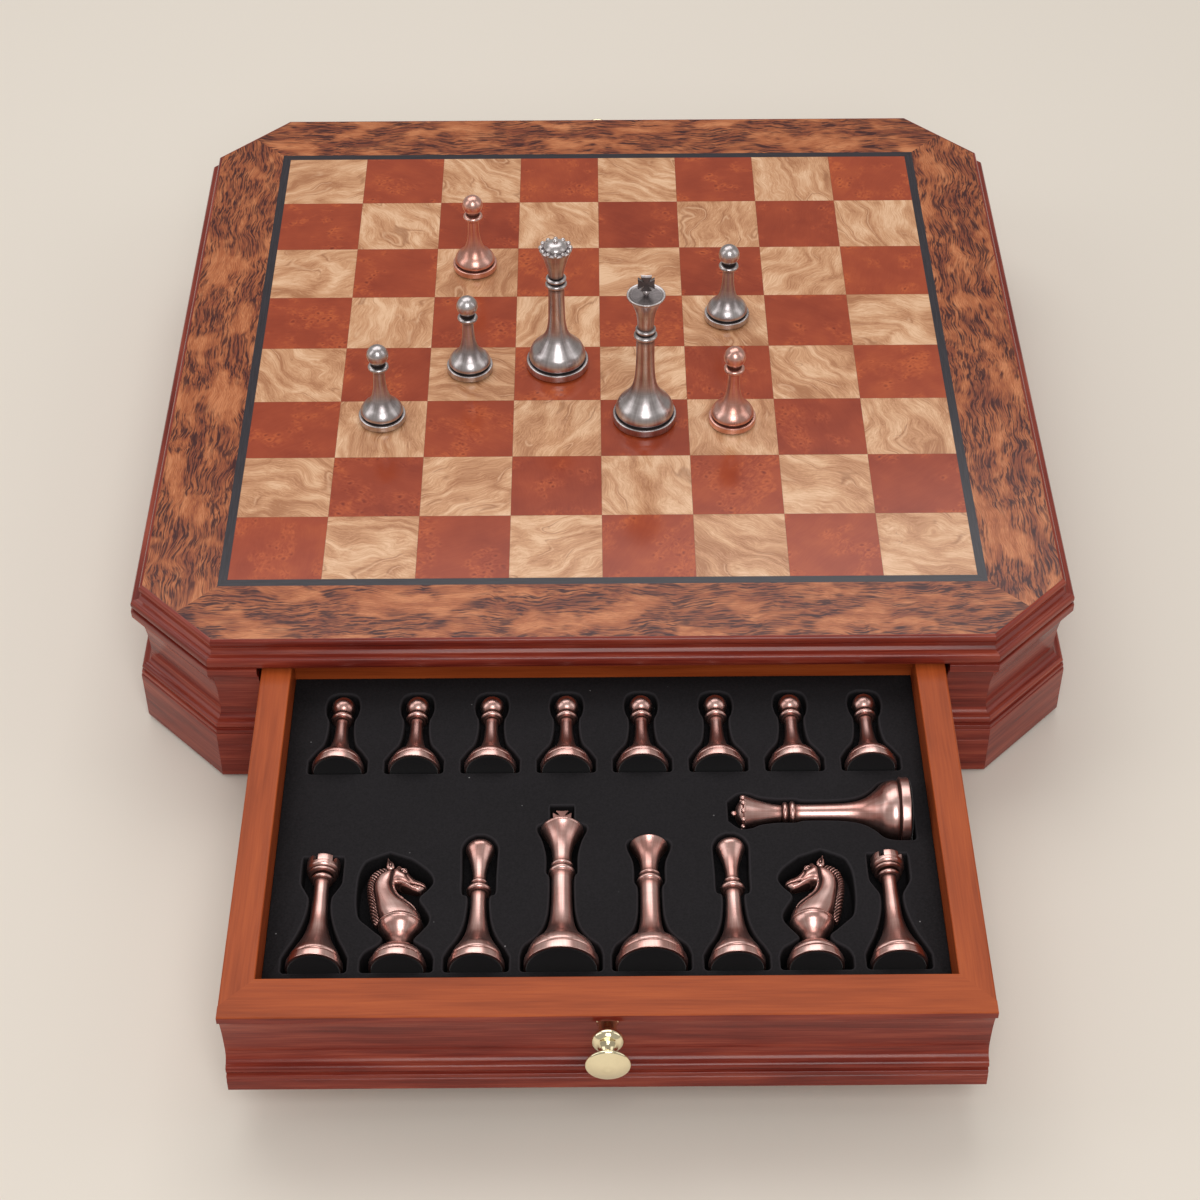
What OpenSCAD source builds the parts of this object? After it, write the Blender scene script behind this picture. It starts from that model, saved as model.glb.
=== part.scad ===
// Chess box with drawers: an octagonal board on a moulded case, two foam-lined
// drawers and a set of turned metal chessmen. Millimetres, +Z up, +Y to the rear.
// The origin is the centre of the underside, between the four felt feet.

/* [Playing field] */
// Side of one square
square = 40; // [34:1:40]
// Width of the dark inlaid line round the squares
inlay_w = 4; // [2:0.5:6]
// Width of the burl border outside the line
border_w = 32; // [28:1:40]
// How far each corner of the border is cut back along both sides
corner_cut = 33; // [28:1:36]
// Thickness of every veneer
veneer_t = 1; // [0.6:0.1:1.5]

/* [Case] */
// Height of the whole box on its feet
case_h = 78; // [76:1:84]
// Depth of the board with its edge moulding
top_t = 12.4; // [12:0.1:13]
// Depth from the board's surface to the plinth's upper edge
plinth_drop = 51; // [50:0.5:52]
// Thickness of the mouldings behind the border's edge line
wall_t = 12; // [10:0.5:14]
// Thickness of the base panel
base_t = 5; // [4:0.5:6]
// Thickness of the felt feet
foot_t = 1.6; // [1:0.1:2]

/* [Drawers] */
// Width of each drawer opening
opening_w = 290; // [288:1:292]
// Outside width of a drawer
drawer_w = 286; // [284:1:286]
// Thickness of the drawer sides
side_t = 12.6; // [12:0.1:14]
// How far the front drawer stands open
front_travel = 178; // [100:1:178]
// Depth of the foam's surface below the board's surface
foam_drop = 27; // [26:0.5:28]
// Height of the knob above the floor
knob_z = 56.5; // [56:0.5:60]

/* [Chessmen] */
// Size of the men, where 1 gives a king 80 tall
man_scale = 1; // [0.9:0.01:1]
// Clearance between a man and the foam under him
rest_gap = 0.4; // [0.3:0.1:0.6]

/* [Hidden] */
$fn = 64;

// colours
burl = "#a5603c";
maple = "#cfa174";
redwood = "#a0452d";
charcoal = "#35323a";
lacquer = "#742c22";
drawer_wood = "#a24c2d";
raw_wood = "#c9a57a";
foam_black = "#1f1d21";
felt_black = "#151418";
copper = "#94604f";
bright_copper = "#c4886f";
pewter = "#8f8a85";
brass = "#d9bf78";
steel = "#b0b2b5";

// plan of the board
field = 8 * square;
line_edge = field / 2 + inlay_w;
edge = line_edge + border_w;
corner = edge - corner_cut;
mitre = tan(22.5);
slant_edge = (edge + corner) / sqrt(2);
slant_half = corner_cut / sqrt(2);
SIDES = [0, 90, 180, 270];
SLANTS = [45, 135, 225, 315];

// heights
top_z = case_h - top_t;
plinth_z = case_h - plinth_drop;
face_drop = 57.3;
run_gap = 0.3;
run_z = case_h - face_drop - run_gap;
lipping = 6;
glue = 0.03;
plinth_out = 6.6;
core_half = edge - wall_t;

// drawer box, measured inwards from the border's edge line
drawer_top = case_h - 13.2;
drawer_low = run_z + run_gap;
divider_t = 12;
divider_gap = 1;
drawer_end = edge - divider_t / 2 - divider_gap;
back_t = 8;
panel_t = 4;
panel_z = drawer_low + 0.8;
groove = 4;
inner_w = drawer_w - 2 * side_t;
foam_gap = 0.2;
foam_z = case_h - foam_drop;
axis_z = foam_z - 2;

// places in a drawer
pawn_pitch = 31.2;
pawn_row = 128;
court_row = 26.5;
court_x = [-111.2, -79.5, -49.6, -17.2, 17.2, 49.6, 79.5, 111.2];
side_queen_x = 122.5;
side_queen_row = 105;

// places on the board
king_spot = [20, -54];
queen_spot = [-20, -14];
silver_spots = [[-100, -53], [-61, -17], [61, 22]];
bright_spots = [[-61, 64], [60, -56]];

// knob, screws, feet
knob_seat = 1.6;
knob_bore_r = 2.05;
knob_screw_r = 2;
screw_spots = [[-150, -150], [-150, 0], [-150, 150], [150, -150], [150, 0], [150, 150],
               [-70, 0], [70, 0]];
screw_r = 1.75;
screw_len = 20;
head_r = 3.6;
head_h = 2;
foot_r = 8;

// ---------- curves ----------

// point at share t of the span from b to c of a curve through a, b, c, d
function spline_point(a, b, c, d, t) =
    0.5 * (2 * b + (c - a) * t + (2 * a - 5 * b + 4 * c - d) * t * t
           + (3 * b - a - 3 * c + d) * t * t * t);

// smooth curve through the points, each span cut into steps
function spline(points, steps = 3) =
    let (n = len(points) - 1)
    concat([for (i = [0:n - 1], s = [0:steps - 1])
        spline_point(points[max(i - 1, 0)], points[i], points[i + 1],
                     points[min(i + 2, n)], s / steps)],
        [points[n]]);

// elliptic arc about centre, of half-widths r, between two angles
function arc(centre, r, from, to, steps = 6) =
    [for (i = [0:steps]) let (a = from + (to - from) * i / steps)
        centre + [r[0] * cos(a), r[1] * sin(a)]];

// half-round bead on a turned profile
function bead(r, z, half) = arc([r - half, z], [half, half], -90, 90);

// ---------- plan shapes and mitred bars ----------

// the board's octagon, moved outwards by out
function octagon(out) =
    let (e = edge + out, c = corner + mitre * out)
    [[c, e], [-c, e], [-e, c], [-e, -c], [-c, -e], [c, -e], [e, -c], [e, c]];

// wedge between the two mitre planes of one side of the octagon, less the glue line
module mitre_wedge(at, half) {
    deep = 24;
    near = half - deep * mitre - glue;
    far = half + deep * mitre - glue;
    linear_extrude(case_h)
        polygon([[-near, at - deep], [near, at - deep], [far, at + deep], [-far, at + deep]]);
}

// a profile of [outwards, height] points run along the rear side, mitred at both ends
module mitred_bar(profile, at, half) {
    intersection() {
        translate([-half - 20, 0, 0]) rotate([90, 0, 90])
            linear_extrude(2 * half + 40) polygon([for (p = profile) [at + p[0], p[1]]]);
        mitre_wedge(at, half);
    }
}

module side_bar(profile) mitred_bar(profile, edge, corner);
module slant_bar(profile) mitred_bar(profile, slant_edge, slant_half);

// ---------- moulding profiles, as [outwards, height] ----------

// two stepped noses round the board, rebated for the veneer
function edge_profile() = concat(
    [[-lipping, top_z], [5, top_z]],
    arc([4.3, case_h - 9.6], [1.6, 2.6], -60, 90, 7),
    [[2.2, case_h - 6.8], [1, case_h - 5.6], [1, case_h - 4.8]],
    arc([0, case_h - 2.2], [1.7, 2.2], -60, 90, 6),
    [[0, case_h - veneer_t], [-lipping, case_h - veneer_t]]);

// fillet, cove and ogee down to the two beads; low is the height it ends at
function cove_profile(high, low, back) = concat(
    [[-back, low], [6, low], [6.2, low + 0.4], [6.2, case_h - 49.6]],
    arc([5.7, case_h - 49.4], [0.5, 0.5], 0, 90, 3),
    [[4.9, case_h - 48.7]],
    arc([3.9, case_h - 46.6], [1.8, 1.8], -50, 80, 6),
    arc([4.2, case_h - 40], [3.4, 4.7], 270, 180, 5),
    arc([5.8, case_h - 40], [5, 24], 180, 90, 9),
    [[6.2, case_h - 16.4], [6.2, high - 0.5], [5.7, high], [-back, high]]);

// the drawer's face ends in a flat band level with the plinth
function face_profile() =
    let (c = cove_profile(drawer_top, plinth_z, wall_t))
    concat([[-wall_t, drawer_low], [plinth_out, drawer_low], [plinth_out, plinth_z - 0.6],
            [plinth_out - 0.5, plinth_z]], [for (i = [2:len(c) - 1]) c[i]]);

function plinth_profile() = [
    [-wall_t, foot_t], [plinth_out - 0.4, foot_t], [plinth_out, foot_t + 0.4],
    [plinth_out, plinth_z - 0.6], [plinth_out - 0.5, plinth_z], [-wall_t, plinth_z]];

// ---------- board ----------

module top_core() {
    color(raw_wood) translate([0, 0, top_z])
        linear_extrude(top_t - veneer_t) polygon(octagon(-lipping));
}

// four strips, mitred on the diagonals and trimmed by the corner cuts
module burl_border() {
    cut = (edge + corner) / 2;
    color(burl) for (a = SIDES) rotate(a) translate([0, 0, case_h - veneer_t])
        linear_extrude(veneer_t)
            polygon([[line_edge - glue, line_edge], [cut - glue, cut], [corner, edge],
                     [-corner, edge], [glue - cut, cut], [glue - line_edge, line_edge]]);
}

module inlay_line() {
    inner = field / 2;
    color(charcoal) for (a = SIDES) rotate(a) translate([0, 0, case_h - veneer_t])
        linear_extrude(veneer_t)
            polygon([[inner - glue, inner], [line_edge - glue, line_edge],
                     [glue - line_edge, line_edge], [glue - inner, inner]]);
}

// tiles of one colour; parity 1 holds the front right square
module squares_of(parity) {
    for (i = [0:7], j = [0:7]) if ((i + j) % 2 == parity)
        translate([(i - 4) * square, (j - 4) * square, case_h - veneer_t])
            cube([square, square, veneer_t]);
}

module light_squares() color(maple) squares_of(1);
module dark_squares() color(redwood) squares_of(0);

// ---------- case ----------

module edge_moulding() {
    color(lacquer) {
        for (a = SIDES) rotate(a) side_bar(edge_profile());
        for (a = SLANTS) rotate(a) slant_bar(edge_profile());
    }
}

module side_mouldings() {
    color(lacquer) for (a = [90, 270]) rotate(a)
        side_bar(cove_profile(top_z, plinth_z, wall_t));
}

module corner_mouldings() {
    color(lacquer) for (a = SLANTS) rotate(a)
        slant_bar(cove_profile(top_z, plinth_z, wall_t));
}

// short lengths of moulding left and right of the two drawer openings
module opening_stiles() {
    color(lacquer) for (a = [0, 180]) rotate(a) difference() {
        side_bar(cove_profile(top_z, plinth_z, wall_t));
        translate([-opening_w / 2, edge - 30, 0]) cube([opening_w, 60, case_h]);
    }
}

// eight rails; the front and rear ones are notched for the drawer faces
module plinth_rails() {
    color(lacquer) {
        for (a = [90, 270]) rotate(a) side_bar(plinth_profile());
        for (a = SLANTS) rotate(a) slant_bar(plinth_profile());
        for (a = [0, 180]) rotate(a) difference() {
            side_bar(plinth_profile());
            translate([-opening_w / 2, edge - 30, run_z]) cube([opening_w, 60, case_h]);
        }
    }
}

module base_panel() {
    color(raw_wood) difference() {
        translate([0, 0, run_z - base_t]) linear_extrude(base_t) polygon(octagon(-wall_t));
        for (p = screw_spots) translate([p[0], p[1], run_z - base_t]) {
            translate([0, 0, -1]) cylinder(h = base_t + 2, r = screw_r + 0.1);
            cylinder(h = head_h, r = head_r);
        }
    }
}

// boards that carry the top and guide the drawers
module inner_walls() {
    wall = 10;
    color(raw_wood) difference() {
        for (x = [-opening_w / 2 - wall, opening_w / 2])
            translate([x, -core_half, run_z]) cube([wall, 2 * core_half, top_z - run_z]);
        pilot_holes();
    }
}

module divider() {
    color(raw_wood) difference() {
        translate([-opening_w / 2, -divider_t / 2, run_z])
            cube([opening_w, divider_t, top_z - run_z]);
        pilot_holes();
    }
}

module pilot_holes() {
    for (p = screw_spots) translate([p[0], p[1], run_z - base_t])
        cylinder(h = screw_len + 1, r = screw_r + 0.1);
}

// two blocks inside each straight rail of the plinth, under the base panel
module glue_blocks() {
    block = [44, 12, 12];
    color(raw_wood) for (a = SIDES, x = [-100, 100]) rotate(a)
        translate([x - block[0] / 2, core_half - block[1], run_z - base_t - block[2]])
            cube(block);
}

module base_screws() {
    color(steel) for (p = screw_spots) translate([p[0], p[1], run_z - base_t]) {
        cylinder(h = screw_len, r = screw_r);
        difference() {
            cylinder(h = head_h, r = head_r - 0.1);
            translate([0, 0, -1]) cylinder(h = 2, r = 1.6, $fn = 6);
        }
    }
}

module foot_pads() {
    color(felt_black) for (a = SLANTS) rotate(a)
        translate([0, slant_edge - wall_t / 2 + 2, 0]) cylinder(h = foot_t, r = foot_r);
}

// ---------- drawer: local y = 0 on the border's edge line, +y into the case ----------

module front_place() translate([0, -edge - front_travel, 0]) children();
module rear_place() rotate(180) translate([0, -edge, 0]) children();

// plan of the face between its mitres with the sides
module face_plan() {
    shoulder = wall_t - side_t;
    linear_extrude(case_h)
        polygon([[-drawer_w / 2, -10], [drawer_w / 2, -10], [drawer_w / 2, shoulder],
                 [inner_w / 2, wall_t], [-inner_w / 2, wall_t], [-drawer_w / 2, shoulder]]);
}

module knob_axis() translate([0, -knob_seat, knob_z]) rotate([90, 0, 0]) children();

module drawer_face() {
    color(lacquer) difference() {
        intersection() {
            translate([-drawer_w / 2 - 1, 0, 0]) rotate([90, 0, 90])
                linear_extrude(drawer_w + 2)
                    polygon([for (p = face_profile()) [-p[0], p[1]]]);
            face_plan();
        }
        knob_axis() cylinder(h = 10, r = 4.6);
        knob_axis() translate([0, 0, -30]) cylinder(h = 40, r = knob_bore_r + 0.2);
        bottom_board();
    }
}

module drawer_sides() {
    shoulder = wall_t - side_t;
    color(drawer_wood) difference() {
        for (m = [0, 1]) mirror([m, 0, 0]) translate([0, 0, drawer_low])
            linear_extrude(drawer_top - drawer_low)
                polygon([[drawer_w / 2, shoulder], [drawer_w / 2, drawer_end],
                         [inner_w / 2, drawer_end], [inner_w / 2, wall_t]]);
        bottom_board();
    }
}

module drawer_back() {
    color(drawer_wood) difference() {
        translate([-inner_w / 2, drawer_end - back_t, drawer_low])
            cube([inner_w, back_t, drawer_top - drawer_low]);
        bottom_board();
    }
}

module bottom_board() {
    translate([-inner_w / 2 - groove, wall_t - groove, panel_z])
        cube([inner_w + 2 * groove, drawer_end - back_t - wall_t + 2 * groove, panel_t]);
}

module drawer_bottom() color(raw_wood) bottom_board();

// pocket cut to head_r below the men's axis, and to base_r under the foot
module pocket(outline, head_r, base_r, deep_to) {
    scale([man_scale, man_scale, 1]) {
        translate([0, 0, axis_z - head_r * man_scale - rest_gap])
            linear_extrude(case_h) polygon(outline);
        translate([0, 0, axis_z - base_r * man_scale - rest_gap])
            linear_extrude(case_h) intersection() {
                polygon(outline);
                translate([-20, -5]) square([40, deep_to + 5]);
            }
    }
}

// closed outline from [half width, distance along] pairs, the same on both sides
function both_sides(half) =
    concat(half, [for (i = [len(half) - 1:-1:0]) [-half[i][0], half[i][1]]]);

pawn_outline = both_sides(spline(
    [[12, -1.2], [12, 6], [9.4, 10.5], [6.4, 15], [5.2, 22], [5.2, 28.5], [6.4, 32], [6.9, 37],
     [5.6, 42], [2.4, 43.8]], 2));
king_outline = both_sides(spline(
    [[15.6, -1.2], [15.6, 6.4], [14.2, 10.8], [10, 14.8], [7, 19.6], [5.2, 27], [4.7, 36],
     [4.8, 45], [6, 47.4], [6, 53], [6.4, 58], [7.8, 64], [9.6, 68.6], [9.4, 71.2], [6.4, 72.6],
     [4.8, 73.8], [4.8, 82]], 2));
plain_queen_outline = both_sides(spline(
    [[15, -1.2], [15, 6.4], [13.4, 10.8], [9.6, 14.4], [6.6, 18.6], [5, 25], [4.6, 33],
     [4.7, 39.6], [5.9, 42.4], [5.9, 48], [6.4, 53], [8.2, 58.4], [8.6, 61.4], [7.4, 63.4]], 2));
queen_outline = both_sides(spline(
    [[15.6, -1.2], [15.6, 6.4], [14.2, 11], [10, 15], [6.8, 20], [5.2, 28], [5, 42], [6, 46.4],
     [6, 53], [7, 60], [8.8, 64], [9, 68.4], [5, 73]], 2));
bishop_outline = both_sides(spline(
    [[12.4, -1.2], [12.4, 5.8], [10.4, 10], [7.8, 14.2], [5.6, 20], [4.4, 27], [4.2, 35.2],
     [6.4, 37.2], [6.6, 46], [6.9, 56], [6.8, 60.6], [4.8, 64.6], [1.6, 66.6]], 2));
rook_outline = both_sides(spline(
    [[12.4, -1.2], [12.4, 5.8], [10.6, 10], [8.2, 15], [5.8, 22], [4.4, 29], [4.3, 35],
     [5.8, 38.4], [7.6, 42], [8, 45], [8, 55.6]], 2));

// the knight's pocket clears the horse's head, which looks to +x
knight_outline = concat([[13.4, -1.2], [13.4, 5]],
    spline([[11.8, 8.8], [7.8, 11.8], [5.4, 14.2], [8.2, 18.4], [10.6, 22], [11, 25.4],
            [9, 29.8], [7, 33.2], [7.2, 35.8], [10.2, 39.4], [11.9, 43.6], [9.4, 48.6],
            [3.2, 54.2], [-5.6, 57.8], [-13.6, 54], [-17, 46.6], [-17.4, 35], [-15.8, 25],
            [-12.2, 21.2], [-6.4, 15.4], [-7.4, 12.2], [-12.4, 8.4]], 2),
    [[-14.2, 4.6], [-14.2, -1.2]]);
module knight_pocket() pocket(knight_outline, 9, 11.2, 12.6);

module pocket_row(places, y) for (x = places) translate([x, y, 0]) children();

function pawn_x(i) = (i - 3.5) * pawn_pitch;

module foam() {
    color(foam_black) difference() {
        translate([-inner_w / 2 + foam_gap, wall_t + foam_gap, panel_z + panel_t])
            cube([inner_w - 2 * foam_gap, drawer_end - back_t - wall_t - 2 * foam_gap,
                  foam_z - panel_z - panel_t]);
        pocket_row([for (i = [0:7]) pawn_x(i)], pawn_row) pocket(pawn_outline, 4.9, 10.7, 12);
        pocket_row([court_x[0], court_x[7]], court_row) pocket(rook_outline, 6.3, 11.2, 14);
        pocket_row([court_x[2], court_x[5]], court_row) pocket(bishop_outline, 6, 11.2, 13.4);
        pocket_row([court_x[3]], court_row) pocket(king_outline, 8.7, 14.8, 15);
        pocket_row([court_x[4]], court_row) pocket(plain_queen_outline, 7.8, 14.2, 14);
        pocket_row([court_x[1]], court_row) knight_pocket();
        translate([court_x[6], court_row, 0]) mirror([1, 0, 0]) knight_pocket();
        translate([side_queen_x, side_queen_row, 0]) rotate(90)
            pocket(queen_outline, 8, 14.8, 15);
    }
}

module knob() {
    color(brass) knob_axis() difference() {
        rotate_extrude() polygon(concat(
            [[0, 0], [4.3, 0], [4.3, 1], [3.5, 1.6], [3.4, 5.2], [3.7, 6.4]],
            arc([0, 9.6], [6.2, 3.5], -50, 50, 8),
            spline([[3.3, 13.2], [2.6, 14.8], [2.5, 15.4]], 2),
            bead(3.1, 16, 0.4),
            spline([[2.7, 16.6], [3.4, 17.4], [5.8, 18.7], [7.7, 19.4]], 2),
            arc([7.7, 20.2], [0.7, 0.8], -60, 90, 4),
            spline([[6.4, 21.7], [3.2, 22.6], [0, 22.9]], 2)));
        translate([0, 0, -1]) cylinder(h = 9, r = knob_bore_r);
    }
}

// pan-head screw through the face from inside
module knob_screw() {
    color(steel) translate([0, wall_t, knob_z]) rotate([90, 0, 0]) {
        cylinder(h = wall_t + knob_seat + 6, r = knob_screw_r);
        translate([0, 0, -2.4]) difference() {
            cylinder(h = 2.4, r = 4);
            translate([-0.5, -5, -1]) cube([1, 10, 1.9]);
        }
    }
}

// ---------- chessmen, standing at the origin ----------

felt_t = 0.8;

// edge of the foot and its dark groove, from the axis outwards and up
function foot(r, band_top) = [
    [0, felt_t], [r - 0.5, felt_t], [r, felt_t + 0.5], [r - 0.15, band_top - 0.4],
    [r - 0.6, band_top], [r - 1.7, band_top + 0.1], [r - 1.7, band_top + 0.7]];

module turned(profile) {
    color(felt_black) cylinder(h = felt_t, r = profile[1][0] - 0.3);
    rotate_extrude() polygon(profile);
}

module pawn() {
    turned(concat(foot(10.7, 3.8),
        spline([[9.7, 5], [9.5, 6.4], [8.2, 8.4], [6.3, 10.2], [4.8, 12.5], [3.7, 15.6],
                [3, 19.5], [2.7, 24], [2.6, 29.2]]),
        bead(4.2, 30.5, 1), [[3, 31.9]],
        arc([0, 37.1], [4.9, 4.9], -52, 90, 12)));
}

module cross_pattee(reach, thick) {
    rotate([90, 0, 0]) translate([0, 0, -thick / 2]) linear_extrude(thick)
        for (a = SIDES) rotate(a)
            polygon([[-0.8, 0], [0.8, 0], [1.1, reach * 0.4], [0.62 * reach, reach],
                     [-0.62 * reach, reach], [-1.1, reach * 0.4]]);
}

module king() {
    turned(concat(foot(14.4, 4.4),
        spline([[13.2, 5.6], [13.1, 7.6], [11.9, 10.4], [9.5, 13.1], [7.2, 15.9], [5.3, 19.4],
                [4.1, 24], [3.4, 30], [3.2, 38], [3.4, 46.8]]),
        bead(4.9, 48.2, 1.1), [[3.4, 49.7]], bead(4.1, 51.4, 0.7),
        spline([[3.3, 52.6], [3.5, 55], [4, 59], [4.8, 62.2], [5.9, 65.2], [7.3, 67.8],
                [8.4, 69.4]]),
        [[8.6, 70], [8.2, 70.5], [7.7, 70.4], [7.2, 69.9], [0, 69.7]]));
    translate([0, 0, 69]) cylinder(h = 5, r = 0.9);
    translate([0, 0, 71.4]) sphere(1.6);
    translate([0, 0, 76.4]) cross_pattee(3.6, 1.8);
}

module queen() {
    turned(concat(foot(14.4, 4.4),
        spline([[13.2, 5.6], [13, 8], [11.7, 11], [9.4, 13.4], [7.2, 15.8], [5.2, 18.6],
                [4, 21.8], [3.1, 27], [2.8, 34], [2.8, 40], [3, 45.6]]),
        bead(4.5, 47.2, 1.1), [[3.2, 48.7]], bead(4.3, 50.2, 0.9),
        spline([[3.3, 51.8], [4, 55.6], [5.4, 60.8], [6.9, 64.8], [7.4, 66.2]]),
        [[7.4, 66.8], [6, 66.8]],
        spline([[5.4, 67], [4.8, 68.4], [3, 69.7], [1.1, 70.2]]), [[0, 70.2]]));
    translate([0, 0, 70.7]) sphere(1.3);
    for (a = [0:30:330]) rotate(a) translate([6.7, 0, 67.1]) sphere(1.15, $fn = 16);
}

// the queen without her coronet: a plain flared cup
module plain_queen() {
    turned(concat(foot(13.8, 4.4),
        spline([[12.6, 5.6], [12.5, 7.6], [11.2, 10.4], [8.7, 12.6], [6.4, 14.8], [4.7, 17.8],
                [3.5, 21.8], [3, 27], [2.8, 34], [2.8, 41.8]]),
        bead(4.7, 43.4, 1.1), [[3.2, 44.9]], bead(3.9, 46.4, 0.7),
        spline([[2.9, 47.6], [3, 50], [3.6, 53.2], [4.6, 56.2], [6, 59], [7.2, 60.8]]),
        [[7.6, 61.4], [7.3, 61.9], [6.8, 61.8], [6.3, 61.4], [0, 61.2]]));
}

module bishop() {
    turned(concat(foot(10.9, 3.9),
        spline([[9.9, 5], [9.8, 6.6], [8.9, 8.8], [7.6, 11], [6.1, 13.8], [4.7, 16.8],
                [3.5, 20.6], [2.8, 25.4], [2.45, 31], [2.45, 37.4]]),
        bead(4.9, 39.3, 1.2), [[2.8, 41.2]], bead(3.4, 43, 0.6),
        spline([[2.5, 44.2], [2.7, 48.4], [3.5, 53], [4.7, 56.8], [5.7, 59.8], [4.9, 62],
                [3.2, 63.3], [1.1, 64]]), [[0.6, 64.8], [0, 64.8]]));
}

module rook() {
    slots = 5;
    slot_w = 2.2;
    difference() {
        turned(concat(foot(10.9, 3.9),
            spline([[9.9, 5], [9.7, 6.6], [8.6, 9], [7.4, 11.4], [5.9, 14.8], [4.5, 19.2],
                    [3.5, 24.8], [2.9, 31], [2.6, 37], [2.6, 43.8]]),
            bead(4.5, 45.3, 0.8), [[3.6, 46.4], [3.6, 46.9]],
            bead(5.4, 47.9, 0.6), [[5.1, 48.8], [5.8, 49.2], [6.1, 49.7], [6.1, 53.7],
            [5.8, 54], [4.6, 54], [4.4, 51], [0, 50.8]]));
        for (i = [0:slots - 1]) rotate(i * 360 / slots + 29)
            translate([3, -slot_w / 2, 51.2]) cube([6, slot_w, 4]);
    }
}

// horse's neck and head: rear point and front point [x, z] and half thickness of each section
horse_rows = spline([
    [-8, 22, 8.4, 22, 7.6], [-9.6, 26, 8, 25.2, 7.3], [-10.9, 30, 5.9, 29, 6.6],
    [-11.9, 34.4, 2.6, 32.2, 5.9], [-12.2, 38.8, -0.4, 35, 5.3], [-11.6, 43, -2.4, 38.2, 4.9],
    [-9.6, 46.8, -3, 40.6, 4.6], [-6, 49.4, -1.8, 41, 4.5], [-2.2, 50.2, -0.2, 40.4, 4.4],
    [1, 49, 1.2, 39.6, 4], [2.9, 46.4, 2.7, 39, 3.4], [4.8, 44.6, 4.4, 38.4, 2.8],
    [7, 43.5, 6.2, 38, 2.4], [8.7, 42.3, 7.9, 38.8, 1.9], [9.4, 41.2, 9, 40, 0.9]], 2);

// combed mane along the crest, from the withers up to between the ears
mane_rows = spline([
    [-9.7, 21.8, -7.8, 23.2, 0.9], [-11, 24.6, -8, 25.6, 1.7], [-12, 28.6, -9, 29.6, 2],
    [-12.8, 33, -9.8, 33.8, 2.2], [-13.6, 37.6, -10.6, 37.4, 2.2],
    [-13.7, 42.4, -10.8, 41, 2.2], [-12.4, 46.9, -9.8, 44.2, 2], [-9.4, 50, -8, 46.8, 1.6],
    [-5.6, 51, -4.8, 48.6, 0.9]], 2);

// triangles over the sections: each is an ellipse between its two points
module skin(rows, sides) {
    n = len(rows);
    ring = [for (k = [0:sides - 1]) [cos(360 * k / sides), sin(360 * k / sides)]];
    polyhedron(
        points = [for (r = rows, c = ring)
            [r[0] + r[2] + (r[2] - r[0]) * c[0], 2 * r[4] * c[1],
             r[1] + r[3] + (r[3] - r[1]) * c[0]] / 2],
        faces = concat([[for (k = [0:sides - 1]) k]],
            [[for (k = [sides - 1:-1:0]) (n - 1) * sides + k]],
            [for (i = [0:n - 2], k = [0:sides - 1], upper = [0, 1])
                let (here = i * sides + k, next = i * sides + (k + 1) % sides)
                upper == 0 ? [here, here + sides, next]
                           : [here + sides, next + sides, next]]));
}

module knight() {
    turned(concat(foot(10.9, 3.9),
        spline([[9.9, 5], [9.7, 6.4], [8.5, 8.4], [6.4, 9.7], [4.6, 10.6]], 2),
        spline([[3.6, 11.6], [3.3, 13], [3.9, 14.8], [6, 17], [7.8, 19.4], [8.5, 21.2]], 2),
        bead(8.8, 22.2, 0.4), [[8.1, 22.9], [7.6, 24.6], [0, 24.6]]));
    difference() {
        union() {
            skin(horse_rows, 14);
            skin(mane_rows, 10);
            horse_ears();
        }
        translate([7.2, 0, 40.5]) rotate([0, 12, 0]) cube([5, 10, 0.5], center = true);
    }
}

module horse_ears() {
    for (m = [0, 1]) mirror([0, m, 0]) {
        translate([-5.2, 2, 48.2]) rotate([5, -9, 0]) cylinder(h = 6.8, r1 = 1.7, r2 = 0.4);
        translate([0.1, 3.3, 46.9]) sphere(1, $fn = 16);
    }
}

// ---------- placing the men ----------

// lying on the foam with the foot at y and the head into the case
module lay(x, y) translate([x, y, axis_z]) rotate([-90, 0, 0]) scale(man_scale) children();
module lay_sideways() translate([side_queen_x, side_queen_row, axis_z]) rotate([0, -90, 0])
    scale(man_scale) children();
module stand(spot) translate([spot[0], spot[1], case_h]) scale(man_scale) children();

module copper_man(x, y) front_place() lay(x, y) color(copper) children();

module copper_rook_left() copper_man(court_x[0], court_row) rook();
module copper_knight_left() copper_man(court_x[1], court_row) knight();
module copper_bishop_left() copper_man(court_x[2], court_row) bishop();
module copper_king() copper_man(court_x[3], court_row) king();
module copper_plain_queen() copper_man(court_x[4], court_row) plain_queen();
module copper_bishop_right() copper_man(court_x[5], court_row) bishop();
module copper_knight_right() copper_man(court_x[6], court_row) mirror([1, 0, 0]) knight();
module copper_rook_right() copper_man(court_x[7], court_row) rook();
module copper_queen() front_place() lay_sideways() color(copper) queen();
module copper_pawn(i) copper_man(pawn_x(i - 1), pawn_row) pawn();

module bright_pawn(i) stand(bright_spots[i - 1]) color(bright_copper) pawn();
module silver_pawn(i) stand(silver_spots[i - 1]) color(pewter) pawn();
module silver_king() stand(king_spot) color(pewter) king();
module silver_queen() stand(queen_spot) color(pewter) queen();

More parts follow.
